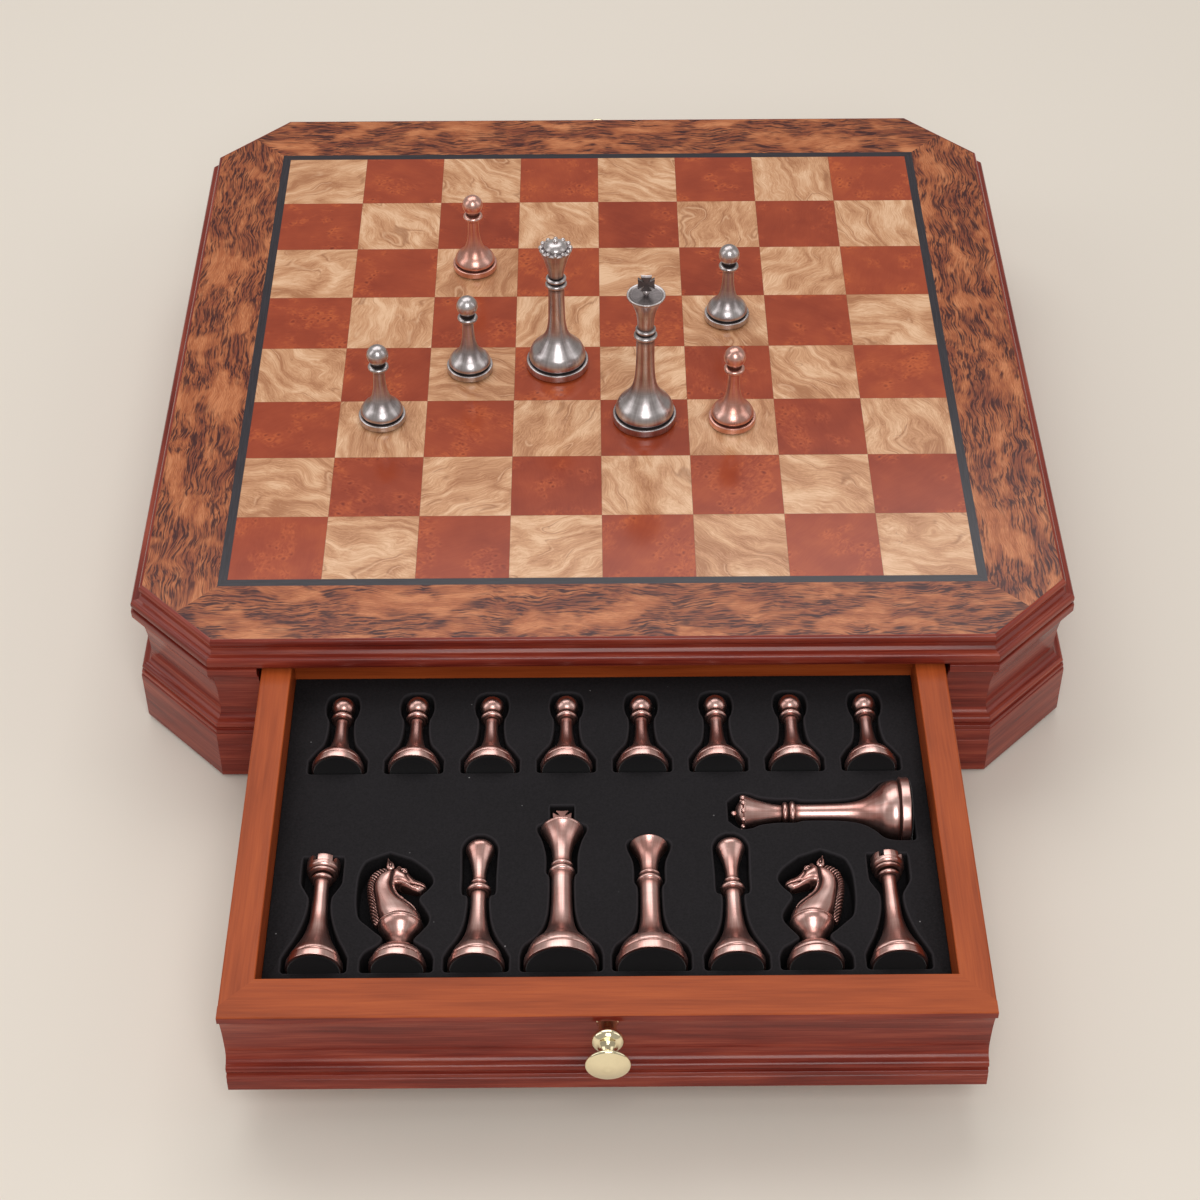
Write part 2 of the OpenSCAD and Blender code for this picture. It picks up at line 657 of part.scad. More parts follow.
// the silver men put away in the rear drawer
module silver_spare_queen() rear_place() lay_sideways() color(pewter) queen();
module silver_king_and_plain_queen() rear_place() color(pewter) {
    lay(court_x[3], court_row) king();
    lay(court_x[4], court_row) plain_queen();
}
module silver_rooks() rear_place() for (i = [0, 7]) lay(court_x[i], court_row)
    color(pewter) rook();
module silver_knights() rear_place() for (m = [0, 1]) mirror([m, 0, 0])
    lay(court_x[1], court_row) color(pewter) knight();
module silver_bishops() rear_place() for (i = [2, 5]) lay(court_x[i], court_row)
    color(pewter) bishop();
module silver_pawns() rear_place() for (i = [0:7]) lay(pawn_x(i), pawn_row)
    color(pewter) pawn();

// ---------- the assembly ----------

top_core();
burl_border();
inlay_line();
light_squares();
dark_squares();
edge_moulding();
side_mouldings();
corner_mouldings();
opening_stiles();
plinth_rails();
base_panel();
inner_walls();
divider();
glue_blocks();
base_screws();
foot_pads();
front_place() drawer_face();  // front_drawer_face
front_place() drawer_sides();  // front_drawer_sides
front_place() drawer_back();  // front_drawer_back
front_place() drawer_bottom();  // front_drawer_bottom
front_place() foam();  // front_foam
front_place() knob();  // front_knob
front_place() knob_screw();  // front_knob_screw
rear_place() drawer_face();  // rear_drawer_face
rear_place() drawer_sides();  // rear_drawer_sides
rear_place() drawer_back();  // rear_drawer_back
rear_place() drawer_bottom();  // rear_drawer_bottom
rear_place() foam();  // rear_foam
rear_place() knob();  // rear_knob
rear_place() knob_screw();  // rear_knob_screw
copper_rook_left();
copper_knight_left();
copper_bishop_left();
copper_king();
copper_plain_queen();
copper_bishop_right();
copper_knight_right();
copper_rook_right();
copper_queen();
copper_pawn(1);  // copper_pawn_1
copper_pawn(2);  // copper_pawn_2
copper_pawn(3);  // copper_pawn_3
copper_pawn(4);  // copper_pawn_4
copper_pawn(5);  // copper_pawn_5
copper_pawn(6);  // copper_pawn_6
copper_pawn(7);  // copper_pawn_7
copper_pawn(8);  // copper_pawn_8
bright_pawn(1);  // bright_pawn_1
bright_pawn(2);  // bright_pawn_2
silver_king();
silver_queen();
silver_pawn(1);  // silver_pawn_1
silver_pawn(2);  // silver_pawn_2
silver_pawn(3);  // silver_pawn_3
silver_spare_queen();
silver_king_and_plain_queen();
silver_rooks();
silver_knights();
silver_bishops();
silver_pawns();
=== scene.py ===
"""Looks for a chess box with drawers: an octagonal board on a moulded case, foam-lined drawers
with brass knobs, and turned metal chessmen. Sizes are in millimetres unless they say otherwise."""

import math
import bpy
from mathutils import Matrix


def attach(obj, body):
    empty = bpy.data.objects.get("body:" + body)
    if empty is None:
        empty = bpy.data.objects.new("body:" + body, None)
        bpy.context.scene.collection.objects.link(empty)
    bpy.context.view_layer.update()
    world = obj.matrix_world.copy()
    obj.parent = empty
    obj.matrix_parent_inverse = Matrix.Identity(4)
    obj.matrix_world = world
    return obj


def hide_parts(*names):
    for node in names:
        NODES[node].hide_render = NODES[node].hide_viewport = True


bl_info = {
    "name": "Chess box with drawers",
    "version": (1, 0, 0),
    "blender": (4, 5, 0),
    "location": "View3D > Sidebar > Chess box",
    "description": "Builds the veneers, mouldings, drawers, foam, knobs and men of a chess box",
    "category": "Add Mesh",
}

import bmesh
import bpy
import numpy as np
from bpy.props import FloatProperty, FloatVectorProperty, IntProperty, PointerProperty
from mathutils import Vector
from mathutils.geometry import tessellate_polygon

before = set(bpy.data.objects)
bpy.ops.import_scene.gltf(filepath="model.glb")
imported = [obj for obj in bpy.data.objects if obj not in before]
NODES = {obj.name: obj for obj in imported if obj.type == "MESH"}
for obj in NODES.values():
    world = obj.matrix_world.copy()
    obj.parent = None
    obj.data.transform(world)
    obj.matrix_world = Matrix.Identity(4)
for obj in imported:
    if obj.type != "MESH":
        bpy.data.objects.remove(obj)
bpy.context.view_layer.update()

# ---------- sizes that follow the solids ----------

MM = 0.001
SQUARE = 40
CASE_H = 78
EDGE = 196  # from the middle to a long side of the board
CORNER = 163  # from the middle of a long side to its corner
MITRE = math.tan(math.radians(22.5))
SLANT_EDGE = (EDGE + CORNER) / math.sqrt(2)
SLANT_HALF = (EDGE - CORNER) / math.sqrt(2)
SIDES = (0, 90, 180, 270)
SLANTS = (45, 135, 225, 315)
TOP_Z = 65.6  # where the coves meet the edge moulding
PLINTH_Z = 27
RUN_Z = 20.4  # top of the plinth's rail under a drawer
PLINTH_OUT = 6.6
LIPPING = 6
VENEER = 1
WALL = 12
GLUE = 0.03  # left free at each mitre
OPENING_HALF = 145
FOOT_T = 1.6
FOOT_R = 8
FOOT_OUT = SLANT_EDGE - WALL / 2 + 2

# drawers, in a frame of their own: x across, y from the face into the case
DRAWER_LOW = 20.7
DRAWER_TOP = 64.8
DRAWER_HALF = 143
DRAWER_INNER = 130.4
DRAWER_END = 189
BACK_T = 8
SHOULDER = 0.6  # past it the face's ends turn in to meet the case
FRONT_OUT = 374
FOAM_Z = 51
FOAM_LOW = 25.5
FOAM_GAP = 0.2
AXIS_Z = 49  # axis of a man lying in the foam
REST_GAP = 0.4  # left free under it
KNOB_Z = 56.5
KNOB_SEAT = 1.6

# places of the men
PAWN_PITCH = 31.2
PAWN_X = [(i - 3.5) * PAWN_PITCH for i in range(8)]
PAWN_ROW = 128
COURT_ROW = 26.5
COURT_X = (-111.2, -79.5, -49.6, -17.2, 17.2, 49.6, 79.5, 111.2)
SIDE_QUEEN = (122.5, 105)
KING_SPOT = (20, -54)
QUEEN_SPOT = (-20, -14)
SILVER_SPOTS = ((-100, -53), (-61, -17), (61, 22))
BRIGHT_SPOTS = ((-61, 64), (60, -56))
FELT = 0.8

LEAF = 400  # width of the veneer that the squares' figure is taken from
BOARD_SEED = 3  # another number cuts the squares from other places

# grain map: metres of figure round a turned and a lofted piece, and how far along the figure the
# lengths of one moulding start from each other, in mm, so that no two look alike
TURNED_GRAIN = 0.05
LOFT_GRAIN = 0.03
NEXT_LENGTH = 700
FIRST_SLANT = 400

# stage: half the floor's width in mm, the place in metres that the lamps aim at, the room's colour
FLOOR_REACH = 6000
LIT_PLACE = (0, -0.08, 0.06)
ROOM_COLOUR = "#F3EFEA"

# camera: where it stands in metres, how it is turned, its sensor's width and its lens in mm
SENSOR = 36
CAMERA_PLACE = (-0.00481108, -0.91929727, 0.7884008)
CAMERA_TURN = (0.80934702, 0.00249794, -0.00717569)
CAMERA_LENS = 73.1203503

# ---------- curves ----------

TINY = 1e-6
CLOSE = 1e-4  # points of a profile nearer than this are one
NEARLY_STRAIGHT = -0.94  # cosine between the legs of a corner that is left as it is
LEG_SHARE = 0.45  # the most of a leg that a softened corner takes up


def spline(points, steps=6):
    """Catmull-Rom curve: each span b to c is 0.5 (2b + (c-a)t + (2a-5b+4c-d)t^2 + (3b-a-3c+d)t^3)."""
    p = np.asarray(points, float)
    ends = np.vstack([p[:1], p, p[-1:]])
    a, b, c, d = (ends[k : len(p) - 1 + k, None] for k in range(4))
    t = (np.arange(steps) / steps)[None, :, None]
    curve = 2 * b + (c - a) * t + (2 * a - 5 * b + 4 * c - d) * t**2 + (3 * b - a - 3 * c + d) * t**3
    return np.vstack([0.5 * curve.reshape(-1, p.shape[1]), p[-1:]])


def arc(centre, radii, start, end, steps=8):
    """Elliptic arc: centre + (rx cos a, ry sin a) for angles a in degrees."""
    a = np.radians(np.linspace(start, end, steps + 1))
    return np.column_stack([centre[0] + radii[0] * np.cos(a), centre[1] + radii[1] * np.sin(a)])


def bead(radius, z, half):
    """Half round of a turned profile, standing out to radius: an arc from -90 to 90 degrees."""
    return arc((radius - half, z), (half, half), -90, 90, 10)


def collar(radius, z, half):
    """A bead without its first and last point, for a place between two grooves."""
    return bead(radius, z, half)[1:-1]


def soften(points, reach, closed=False, steps=3):
    """Rounds each sharp corner: a quadratic curve between points at reach along both its legs, with
    the corner as its control point."""
    p = np.asarray(points, float)
    out = []
    for i, here in enumerate(p):
        before, after = p[i - 1], p[(i + 1) % len(p)]
        legs = np.linalg.norm(before - here), np.linalg.norm(after - here)
        if (not closed and i in (0, len(p) - 1)) or min(legs) < TINY:
            out.append(here)
            continue
        u, v = (before - here) / legs[0], (after - here) / legs[1]
        if u @ v < NEARLY_STRAIGHT:
            out.append(here)
            continue
        a = here + u * min(reach, LEG_SHARE * legs[0])
        b = here + v * min(reach, LEG_SHARE * legs[1])
        for t in np.linspace(0, 1, steps + 1):
            out.append(a * (1 - t) ** 2 + here * 2 * t * (1 - t) + b * t**2)
    return np.array(out)


def lengths(points):
    """Distance along a polyline at each of its points."""
    steps = np.linalg.norm(np.diff(points, axis=0), axis=1)
    return np.concatenate([[0], np.cumsum(steps)])


# ---------- shapes ----------


class Shape:
    """Points in mm with faces; each face corner has a grain map in metres and each point a patina value,
    which on the foam holds a painted highlight and on some men painted shade.
    """

    def __init__(self):
        self.points, self.patina, self.faces = [], [], []
        self.count = 0

    def add(self, points, faces, grain, patina=0.0, finish=0):
        """faces and grain are arrays of corners per face; finish picks the piece's material."""
        points = np.asarray(points, float).reshape(-1, 3)
        self.points.append(points)
        self.patina.append(np.broadcast_to(patina, len(points)).astype(float))
        self.faces.append((np.asarray(faces) + self.count, np.asarray(grain, float), finish))
        self.count += len(points)
        return self

    def more(self, other):
        """Takes in another shape's points and faces."""
        self.faces += [(faces + self.count, grain, finish) for faces, grain, finish in other.faces]
        self.points += other.points
        self.patina += other.patina
        self.count += other.count
        return self

    def moved(self, place, mirrored=False):
        """The same shape with every point passed through place, faces turned where that mirrors."""
        new = Shape()
        new.points = [place(p) for p in self.points]
        new.patina = list(self.patina)
        new.count = self.count
        step = -1 if mirrored else 1
        new.faces = [(f[:, ::step], g[:, ::step], m) for f, g, m in self.faces]
        return new

    def build(self, name, materials, sharp=35.0):
        """The mesh object, in metres at the origin."""
        mesh = bpy.data.meshes.new(name)
        points = np.vstack(self.points) * MM
        sizes = np.concatenate([np.full(len(f), f.shape[1]) for f, _, _ in self.faces])
        corners = np.concatenate([f.ravel() for f, _, _ in self.faces])
        mesh.vertices.add(len(points))
        mesh.vertices.foreach_set("co", points.ravel())
        mesh.loops.add(len(corners))
        mesh.loops.foreach_set("vertex_index", corners.astype(np.int32))
        mesh.polygons.add(len(sizes))
        mesh.polygons.foreach_set("loop_start", np.concatenate([[0], np.cumsum(sizes)[:-1]]).astype(np.int32))
        which = np.concatenate([np.full(len(f), m) for f, _, m in self.faces])
        mesh.polygons.foreach_set("material_index", which.astype(np.int32))
        mesh.update(calc_edges=True)
        grain = mesh.uv_layers.new(name="grain")
        grain.data.foreach_set("uv", np.concatenate([g.reshape(-1, 2) for _, g, _ in self.faces]).ravel())
        patina = mesh.attributes.new("patina", "FLOAT", "POINT")
        patina.data.foreach_set("value", np.concatenate(self.patina))
        for material in materials:
            mesh.materials.append(material)
        outward(mesh)
        mesh.polygons.foreach_set("use_smooth", [True] * len(mesh.polygons))
        mesh.set_sharp_from_angle(angle=math.radians(sharp))
        piece = bpy.data.objects.new(name, mesh)
        bpy.context.scene.collection.objects.link(piece)
        return piece


def outward(mesh):
    """Turns every closed shell's faces outwards."""
    work = bmesh.new()
    work.from_mesh(mesh)
    bmesh.ops.recalc_face_normals(work, faces=work.faces)
    work.to_mesh(mesh)
    work.free()


def quads(rows, cols, wrap=False):
    """Corners of the faces between neighbours of a rows by cols grid. wrap joins the last column to
    the first."""
    r, c = np.meshgrid(np.arange(rows - 1), np.arange(cols if wrap else cols - 1), indexing="ij")
    near, far = r * cols, (r + 1) * cols
    nxt = (c + 1) % cols
    return np.stack([near + c, near + nxt, far + nxt, far + c], -1).reshape(-1, 4)


def quad_map(u, v):
    """Grain map for a grid's faces from its column places u and row places v."""
    a, b = np.meshgrid(u, v)
    corner = np.stack([a, b], -1)
    faces = [corner[:-1, :-1], corner[:-1, 1:], corner[1:, 1:], corner[1:, :-1]]
    return np.stack(faces, 2).reshape(-1, 4, 2)


def hollows(profile, reach=1.8, depth=0.55):
    """Patina of a turned profile: how far each radius falls short of the mean radius around it, as a
    share of depth. It fades out close to the axis, where a profile only turns flat."""
    s, radius = lengths(profile), profile[:, 0]
    weight = np.exp(-(((s[:, None] - s[None]) / reach) ** 2)) * np.gradient(s)
    mean = (weight * radius).sum(1) / weight.sum(1)
    return np.clip((mean - radius) / depth, 0, 1) * np.clip(radius / 2 - 0.4, 0, 1)


def turned(profile, segments=72, finish=0, patina=None):
    """Surface of revolution (r cos a, r sin a, z), a from the rear, both poles single points. The
    patina is the same all over, or comes from the profile's hollows."""
    p = np.asarray(profile, float)
    a = math.pi / 2 + np.arange(segments) / segments * math.tau
    r, z = p[1:-1, :1], p[1:-1, 1:]
    rings = np.stack([r * np.cos(a), r * np.sin(a), np.repeat(z, segments, 1)], -1)
    points = np.vstack([[0, 0, p[0, 1]], rings.reshape(-1, 3), [0, 0, p[-1, 1]]])
    tone = hollows(p) if patina is None else np.full(len(p), patina)
    shade = np.concatenate([tone[:1], np.repeat(tone[1:-1], segments), tone[-1:]])
    around = np.arange(segments + 1) / segments * TURNED_GRAIN
    along = lengths(p) * MM
    grain = quad_map(around, along[1:-1])
    shape = Shape().add(points, 1 + quads(len(r), segments, True), grain, shade, finish)
    c = np.arange(segments)
    nxt = (c + 1) % segments
    last = 1 + (len(r) - 1) * segments
    pole = np.column_stack([np.zeros(segments, int), 1 + nxt, 1 + c])
    tip = np.column_stack([np.full(segments, len(points) - 1), last + c, last + nxt])
    u = np.column_stack([around[:-1], around[1:], around[:-1]])
    for fan, end, ring in ((pole, along[0], along[1]), (tip, along[-1], along[-2])):
        v = np.broadcast_to([end, ring, ring], u.shape)
        shape.faces.append((fan, np.stack([u, v], -1), finish))
    return shape


def loft(sections, patina=0.0):
    """Skin over closed sections (n, m, 3), with a fan to the middle of each end section."""
    n, m, _ = sections.shape
    points = np.vstack([sections.reshape(-1, 3), sections[0].mean(0), sections[-1].mean(0)])
    shade = np.broadcast_to(patina, (n, m)).ravel()
    shade = np.concatenate([shade, shade[:1], shade[-1:]])
    around = np.arange(m + 1) / m * LOFT_GRAIN
    grain = quad_map(around, lengths(sections.mean(1)) * MM)
    shape = Shape().add(points, quads(n, m, True), grain, shade)
    c = np.arange(m)
    nxt = (c + 1) % m
    last = (n - 1) * m
    for fan in (np.column_stack([np.full(m, n * m), nxt, c]),
                np.column_stack([np.full(m, n * m + 1), last + c, last + nxt])):
        shape.faces.append((fan, np.zeros((m, 3, 2)), 0))
    return shape


def ball(centre, radii, rows=10, cols=16, patina=0.0):
    """Ellipsoid centre + (a sin t cos s, b sin t sin s, c cos t)."""
    t = np.linspace(math.pi, 0, rows + 1)
    profile = np.column_stack([np.sin(t), np.cos(t)])
    profile[[0, -1], 0] = 0
    return turned(profile, cols, patina=patina).moved(lambda p: p * np.asarray(radii) + np.asarray(centre))


def ring_of_balls(count, radius, z, radii, rows, cols):
    """Balls evenly spaced round the axis at (radius cos a, radius sin a, z)."""
    shape = Shape()
    for a in np.arange(count) / count * math.tau:
        shape.more(ball((radius * math.cos(a), radius * math.sin(a), z), radii, rows, cols))
    return shape


def tube(path, radius, sides=8, flat=1.0, patina=0.0):
    """Round or flattened section carried along a path, square to its direction at every point."""
    path = np.asarray(path, float)
    way = np.gradient(path, axis=0)
    way /= np.linalg.norm(way, axis=1)[:, None]
    side = np.cross(way, [0.0, 1.0, 0.0])
    side /= np.maximum(np.linalg.norm(side, axis=1), TINY)[:, None]
    up = np.cross(side, way)
    a = (np.arange(sides) / sides * math.tau)[None, :, None]
    ring = side[:, None] * np.cos(a) + up[:, None] * np.sin(a) * flat
    return loft(path[:, None] + np.broadcast_to(radius, len(path))[:, None, None] * ring, patina)


def bar(profile, start, end, place, shift=0.0, split=None):
    """Closed profile carried from start to end, which give both ends' places for each profile
    point. place turns (along, out, up) into the case's x, y, z. The ends are capped, in two
    flat parts where the end turns at the out value split. The figure starts at shift, in mm."""
    p = np.asarray(profile, float)
    n = len(p)
    ends = np.column_stack([start(p), end(p)])
    points = np.stack([ends, np.repeat(p[:, :1], 2, 1), np.repeat(p[:, 1:], 2, 1)], -1)
    row = np.arange(n)
    nxt = (row + 1) % n
    faces = np.column_stack([row * 2, row * 2 + 1, nxt * 2 + 1, nxt * 2])
    girth = lengths(np.vstack([p, p[:1]]))
    u = (points[..., 0] + shift) * MM
    v = girth[:-1] * MM, girth[1:] * MM
    grain = np.stack([np.column_stack([u[row, 0], v[0]]), np.column_stack([u[row, 1], v[0]]),
                      np.column_stack([u[nxt, 1], v[1]]), np.column_stack([u[nxt, 0], v[1]])], 1)
    shape = Shape().add(place(points.reshape(-1, 3)), faces, grain)
    parts = [row]
    if split is not None:
        parts = [row[p[:, 0] >= split - TINY], row[p[:, 0] <= split + TINY]]
    for part in parts:
        cap = p[part] * MM + shift * MM
        shape.faces.append(((part * 2)[None], cap[None], 0))
        shape.faces.append(((part * 2 + 1)[::-1][None], cap[None, ::-1], 0))
    return shape


def spun(degrees):
    """Place for something on the rear side of the case, turned about the case's middle."""
    c, s = math.cos(math.radians(degrees)), math.sin(math.radians(degrees))
    turn = np.array([[c, s, 0], [-s, c, 0], [0, 0, 1]])
    return lambda p: p @ turn


def in_front(p):
    """From the drawer's own frame to the front drawer's place, standing open."""
    return p + np.array([0, -FRONT_OUT, 0])


def at_rear(p):
    """From the drawer's own frame to the rear drawer's place, closed."""
    return p * np.array([-1, -1, 1]) + np.array([0, EDGE, 0])


DRAWERS = (("front", in_front), ("rear", at_rear))

# ---------- finishes ----------


def linear(colour):
    """Linear colour from a hex string, or a property's value, as four numbers."""
    if isinstance(colour, str):
        srgb = [int(colour[i : i + 2], 16) / 255 for i in (1, 3, 5)]
        return [v / 12.92 if v < 0.04045 else ((v + 0.055) / 1.055) ** 2.4 for v in srgb] + [1.0]
    return list(colour)[:3] + [1.0]


class Value:
    """A shader socket; the usual signs add Math nodes for it."""

    def __init__(self, finish, socket):
        self.finish, self.socket = finish, socket

    def maths(self, operation, *values):
        """Adds a Math node."""
        return self.finish.node("ShaderNodeMath", {"operation": operation}, dict(enumerate(values)))

    def __add__(self, other):
        return self.maths("ADD", self, other)

    def __sub__(self, other):
        return self.maths("SUBTRACT", self, other)

    def __mul__(self, other):
        return self.maths("MULTIPLY", self, other)

    def __truediv__(self, other):
        return self.maths("DIVIDE", self, other)

    def __radd__(self, other):
        return self.maths("ADD", other, self)

    def __rsub__(self, other):
        return self.maths("SUBTRACT", other, self)

    def __abs__(self):
        return self.maths("ABSOLUTE", self)

    def __gt__(self, other):
        return self.maths("GREATER_THAN", self, other)

    def floor(self):
        return self.maths("FLOOR", self)

    def fract(self):
        return self.maths("FRACT", self)

    def sine(self):
        return self.maths("SINE", self)

    def between(self, low, high):
        """0 below low, 1 above high, smooth from one to the other."""
        inputs = {0: self, 1: low, 2: high, 3: 0.0, 4: 1.0}
        return self.finish.node("ShaderNodeMapRange", {"interpolation_type": "SMOOTHSTEP"}, inputs)


class Finish:
    """A material being made, whose methods add its nodes."""

    def __init__(self, name):
        self.material = bpy.data.materials.new(name)
        self.material.use_nodes = True
        self.tree = self.material.node_tree
        self.tree.nodes.clear()

    def node(self, kind, settings=None, inputs=None, output=0):
        """Adds a node with its settings and its sockets' values or links, and gives one output."""
        node = self.tree.nodes.new(kind)
        for key, value in (settings or {}).items():
            if key == "stops":
                stops = node.color_ramp.elements
                while len(stops) < len(value):
                    stops.new(0.5)
                for stop, (place, colour) in zip(stops, value):
                    stop.position, stop.color = place, linear(colour)
            else:
                setattr(node, key, value)
        for key, value in (inputs or {}).items():
            if isinstance(value, Value):
                self.tree.links.new(value.socket, node.inputs[key])
            else:
                node.inputs[key].default_value = value
        return Value(self, node.outputs[output]) if node.outputs else None

    def place(self):
        """Object coordinates in millimetres."""
        return self.scaled(self.node("ShaderNodeTexCoord", output="Object"), 1 / MM)

    def grain(self):
        """The piece's own grain map in millimetres: along it, then across it."""
        return self.scaled(self.node("ShaderNodeTexCoord", output="UV"), 1 / MM)

    def patina(self):
        """The piece's own patina, from 0 where it is rubbed to 1 in its grooves; on the foam the same values
        hold a painted highlight on the rims, and on some men painted shade.
        """
        return self.node("ShaderNodeAttribute", {"attribute_name": "patina"}, output="Fac")

    def vector(self, operation, a, b):
        """Adds a Vector Math node."""
        return self.node("ShaderNodeVectorMath", {"operation": operation}, {0: a, 1: b})

    def scaled(self, vector, by):
        return self.node("ShaderNodeVectorMath", {"operation": "SCALE"}, {0: vector, "Scale": by})

    def sized(self, vector, size):
        """Vector divided by the size of its features, one for all axes or one for each."""
        if isinstance(size, tuple):
            return self.vector("MULTIPLY", vector, tuple(1 / axis for axis in size))
        return self.scaled(vector, 1 / size)

    def split(self, vector):
        return [self.node("ShaderNodeSeparateXYZ", None, {0: vector}, k) for k in range(3)]

    def join(self, x, y, z=0.0):
        return self.node("ShaderNodeCombineXYZ", None, {0: x, 1: y, 2: z})

    def noise(self, vector, size, detail=2.0, roughness=0.5, distortion=0.0, output=0):
        """Noise with features of that size."""
        return self.node("ShaderNodeTexNoise", None, {
            "Vector": self.sized(vector, size), "Scale": 1.0, "Detail": detail, "Roughness": roughness,
            "Distortion": distortion}, output)

    def cells(self, vector, size, output="Distance"):
        """Distance to the nearest of a scatter of points, or each point's own colour."""
        inputs = {"Vector": self.sized(vector, size), "Scale": 1.0}
        return self.node("ShaderNodeTexVoronoi", None, inputs, output)

    def chance(self, vector, output="Value"):
        """A number or colour by chance, the same for the same vector."""
        return self.node("ShaderNodeTexWhiteNoise", {"noise_dimensions": "3D"}, {"Vector": vector}, output)

    def warped(self, vector, size, amount):
        """Vector pushed about by a colour noise of that feature size."""
        push = self.vector("SUBTRACT", self.noise(vector, size, output=1), (0.5, 0.5, 0.5))
        return self.vector("ADD", vector, self.vector("MULTIPLY", push, amount))

    def mix(self, factor, a, b):
        """Colour a where the factor is 0, b where it is 1."""
        a, b = (colour if isinstance(colour, Value) else linear(colour) for colour in (a, b))
        return self.node("ShaderNodeMix", {"data_type": "RGBA"}, {0: factor, 6: a, 7: b}, 2)

    def ramp(self, value, *stops):
        """Colour by value, from stops of (place, colour)."""
        return self.node("ShaderNodeValToRGB", {"stops": stops}, {0: value})

    def bump(self, height, strength, distance):
        """Normal of a surface that rises by up to distance, in millimetres, with the height."""
        inputs = {"Strength": strength, "Distance": distance * MM, "Height": height}
        return self.node("ShaderNodeBump", None, inputs)

    def surface(self, **sockets):
        """Finishes the material with a Principled surface; each word names a socket."""
        inputs = {}
        for key, value in sockets.items():
            key = "Specular IOR Level" if key == "specular" else key.replace("_", " ").title()
            if key.endswith("Color") and not isinstance(value, Value):
                value = linear(value)
            inputs[key] = value
        shader = self.node("ShaderNodeBsdfPrincipled", None, inputs)
        self.node("ShaderNodeOutputMaterial", None, {0: shader})
        return self.material


def burl_border_finish(looks):
    """Red-brown veneer, its grain along each strip, with dark clouds of fine dark streaks."""
    f = Finish("burl_border_lacquered")
    x, y, _ = f.split(f.place())
    side = abs(x) > abs(y)
    along = x + (y - x) * side
    across = y + (x - y) * side
    flat = f.join(along, across, side * 90)
    bent = f.warped(f.warped(flat, 42, (22, 17, 0)), 12, (4, 3.6, 0))
    cloud = f.noise(f.warped(flat, 30, (18, 18, 0)), (26, 15, 1), 2.0, 0.55)
    zone = cloud.between(0.36, 0.54)
    streak = f.noise(bent, (10, 0.95, 1), 2.0, 0.6).between(0.46, 0.57)
    blot = f.noise(bent, (14, 3.4, 1), 3.0, 0.62).between(0.5, 0.62)
    fibre = f.noise(bent, (5.0, 0.42, 1), 3.0, 0.62)
    tone = fibre * 0.6 + f.noise(bent, (26, 6, 1), 2.0, 0.5) * 0.55 - zone * 0.12
    colour = f.ramp(tone, (0.36, looks.burl_deep), (0.52, looks.burl_mid), (0.68, looks.burl_light))
    dark = streak * (0.12 + zone * 0.66) + blot * zone * 0.42
    colour = f.mix(dark.between(0.0, 1.0) * 0.92, colour, looks.burl_streak)
    pore = f.noise(bent, (3.4, 0.24, 1), 1.0, 0.5).between(0.56, 0.72)
    colour = f.mix(pore * 0.3, colour, looks.burl_streak)
    edge = (abs(x) + abs(y)).between(EDGE + CORNER - 1, EDGE + CORNER + 0.4)
    colour = f.mix(edge * 0.35, colour, looks.burl_streak)
    return f.surface(base_color=colour, roughness=0.2 + (fibre - 0.5) * 0.1, specular=0.28,
                     normal=f.bump(fibre, 0.05, 0.05))


def in_tile(f):
    """Millimetres from a square's middle, turned and shifted by chance, with the square's own
    number and the place on the board."""
    x, y, _ = f.split(f.place())
    across, up = x / SQUARE, y / SQUARE
    cell = f.join(across.floor(), up.floor(), BOARD_SEED)
    centre = f.join((across.fract() - 0.5) * SQUARE, (up.fract() - 0.5) * SQUARE)
    number = f.chance(cell)
    turn = {"Vector": centre, "Angle": number * math.tau}
    spin = f.node("ShaderNodeVectorRotate", {"rotation_type": "Z_AXIS"}, turn)
    return f.vector("ADD", spin, f.scaled(f.chance(cell, "Color"), LEAF)), number, x, y


def joint_lines(x, y):
    """1 in the hairline joints between the squares."""
    across, up = (abs((v / SQUARE).fract() - 0.5) for v in (x, y))
    return across.maths("MAXIMUM", across, up).between(0.5 - 0.22 / SQUARE, 0.5 - 0.06 / SQUARE)


def light_square_finish(looks):
    """Pale burl with a few broad silky folds, turned a different way in every square."""
    f = Finish("light_squares_lacquered")
    p, number, x, y = in_tile(f)
    bent = f.warped(f.warped(p, 34, (30, 30, 0)), 10, (3.4, 3.4, 0))
    fold = f.noise(bent, (46, 17, 20), 1.0, 0.4) * 5.0
    wave = fold.fract()
    sheen = (fold * math.tau).sine()
    crease = 1 - abs(wave - 0.93).between(0.0, 0.06)
    pale = 1 - abs(wave - 0.83).between(0.0, 0.06)
    silk = f.noise(bent, (6, 0.7, 9), 3.0, 0.65)
    speck = f.noise(bent, (1.6, 0.4, 1), 2.0, 0.7)
    eyes = f.cells(bent, 6.5)
    where = f.noise(p, 13).between(0.6, 0.68)
    ring = (eyes * 34.0).sine() * (1 - eyes.between(0.18, 0.36)) * where
    cloud = f.noise(bent, (26, 14, 20), 2.0)
    tone = 0.14 + sheen * 0.085 + (silk - 0.5) * 0.55 + (speck - 0.5) * 0.3 + (number - 0.5) * 0.1
    tone = tone + cloud * 0.62
    colour = f.ramp(tone, (0.24, looks.pale_deep), (0.46, looks.pale_mid), (0.66, looks.pale_light))
    few = f.noise(p, 17).between(0.5, 0.6)
    colour = f.mix(pale * few * 0.5, colour, looks.pale_light)
    colour = f.mix(crease * few * 0.5 + ring * 0.42, colour, looks.pale_crease)
    colour = f.mix(joint_lines(x, y) * 0.45, colour, looks.pale_crease)
    return f.surface(base_color=colour, roughness=0.17 + speck * 0.06, specular=0.45,
                     normal=f.bump(silk, 0.04, 0.06))


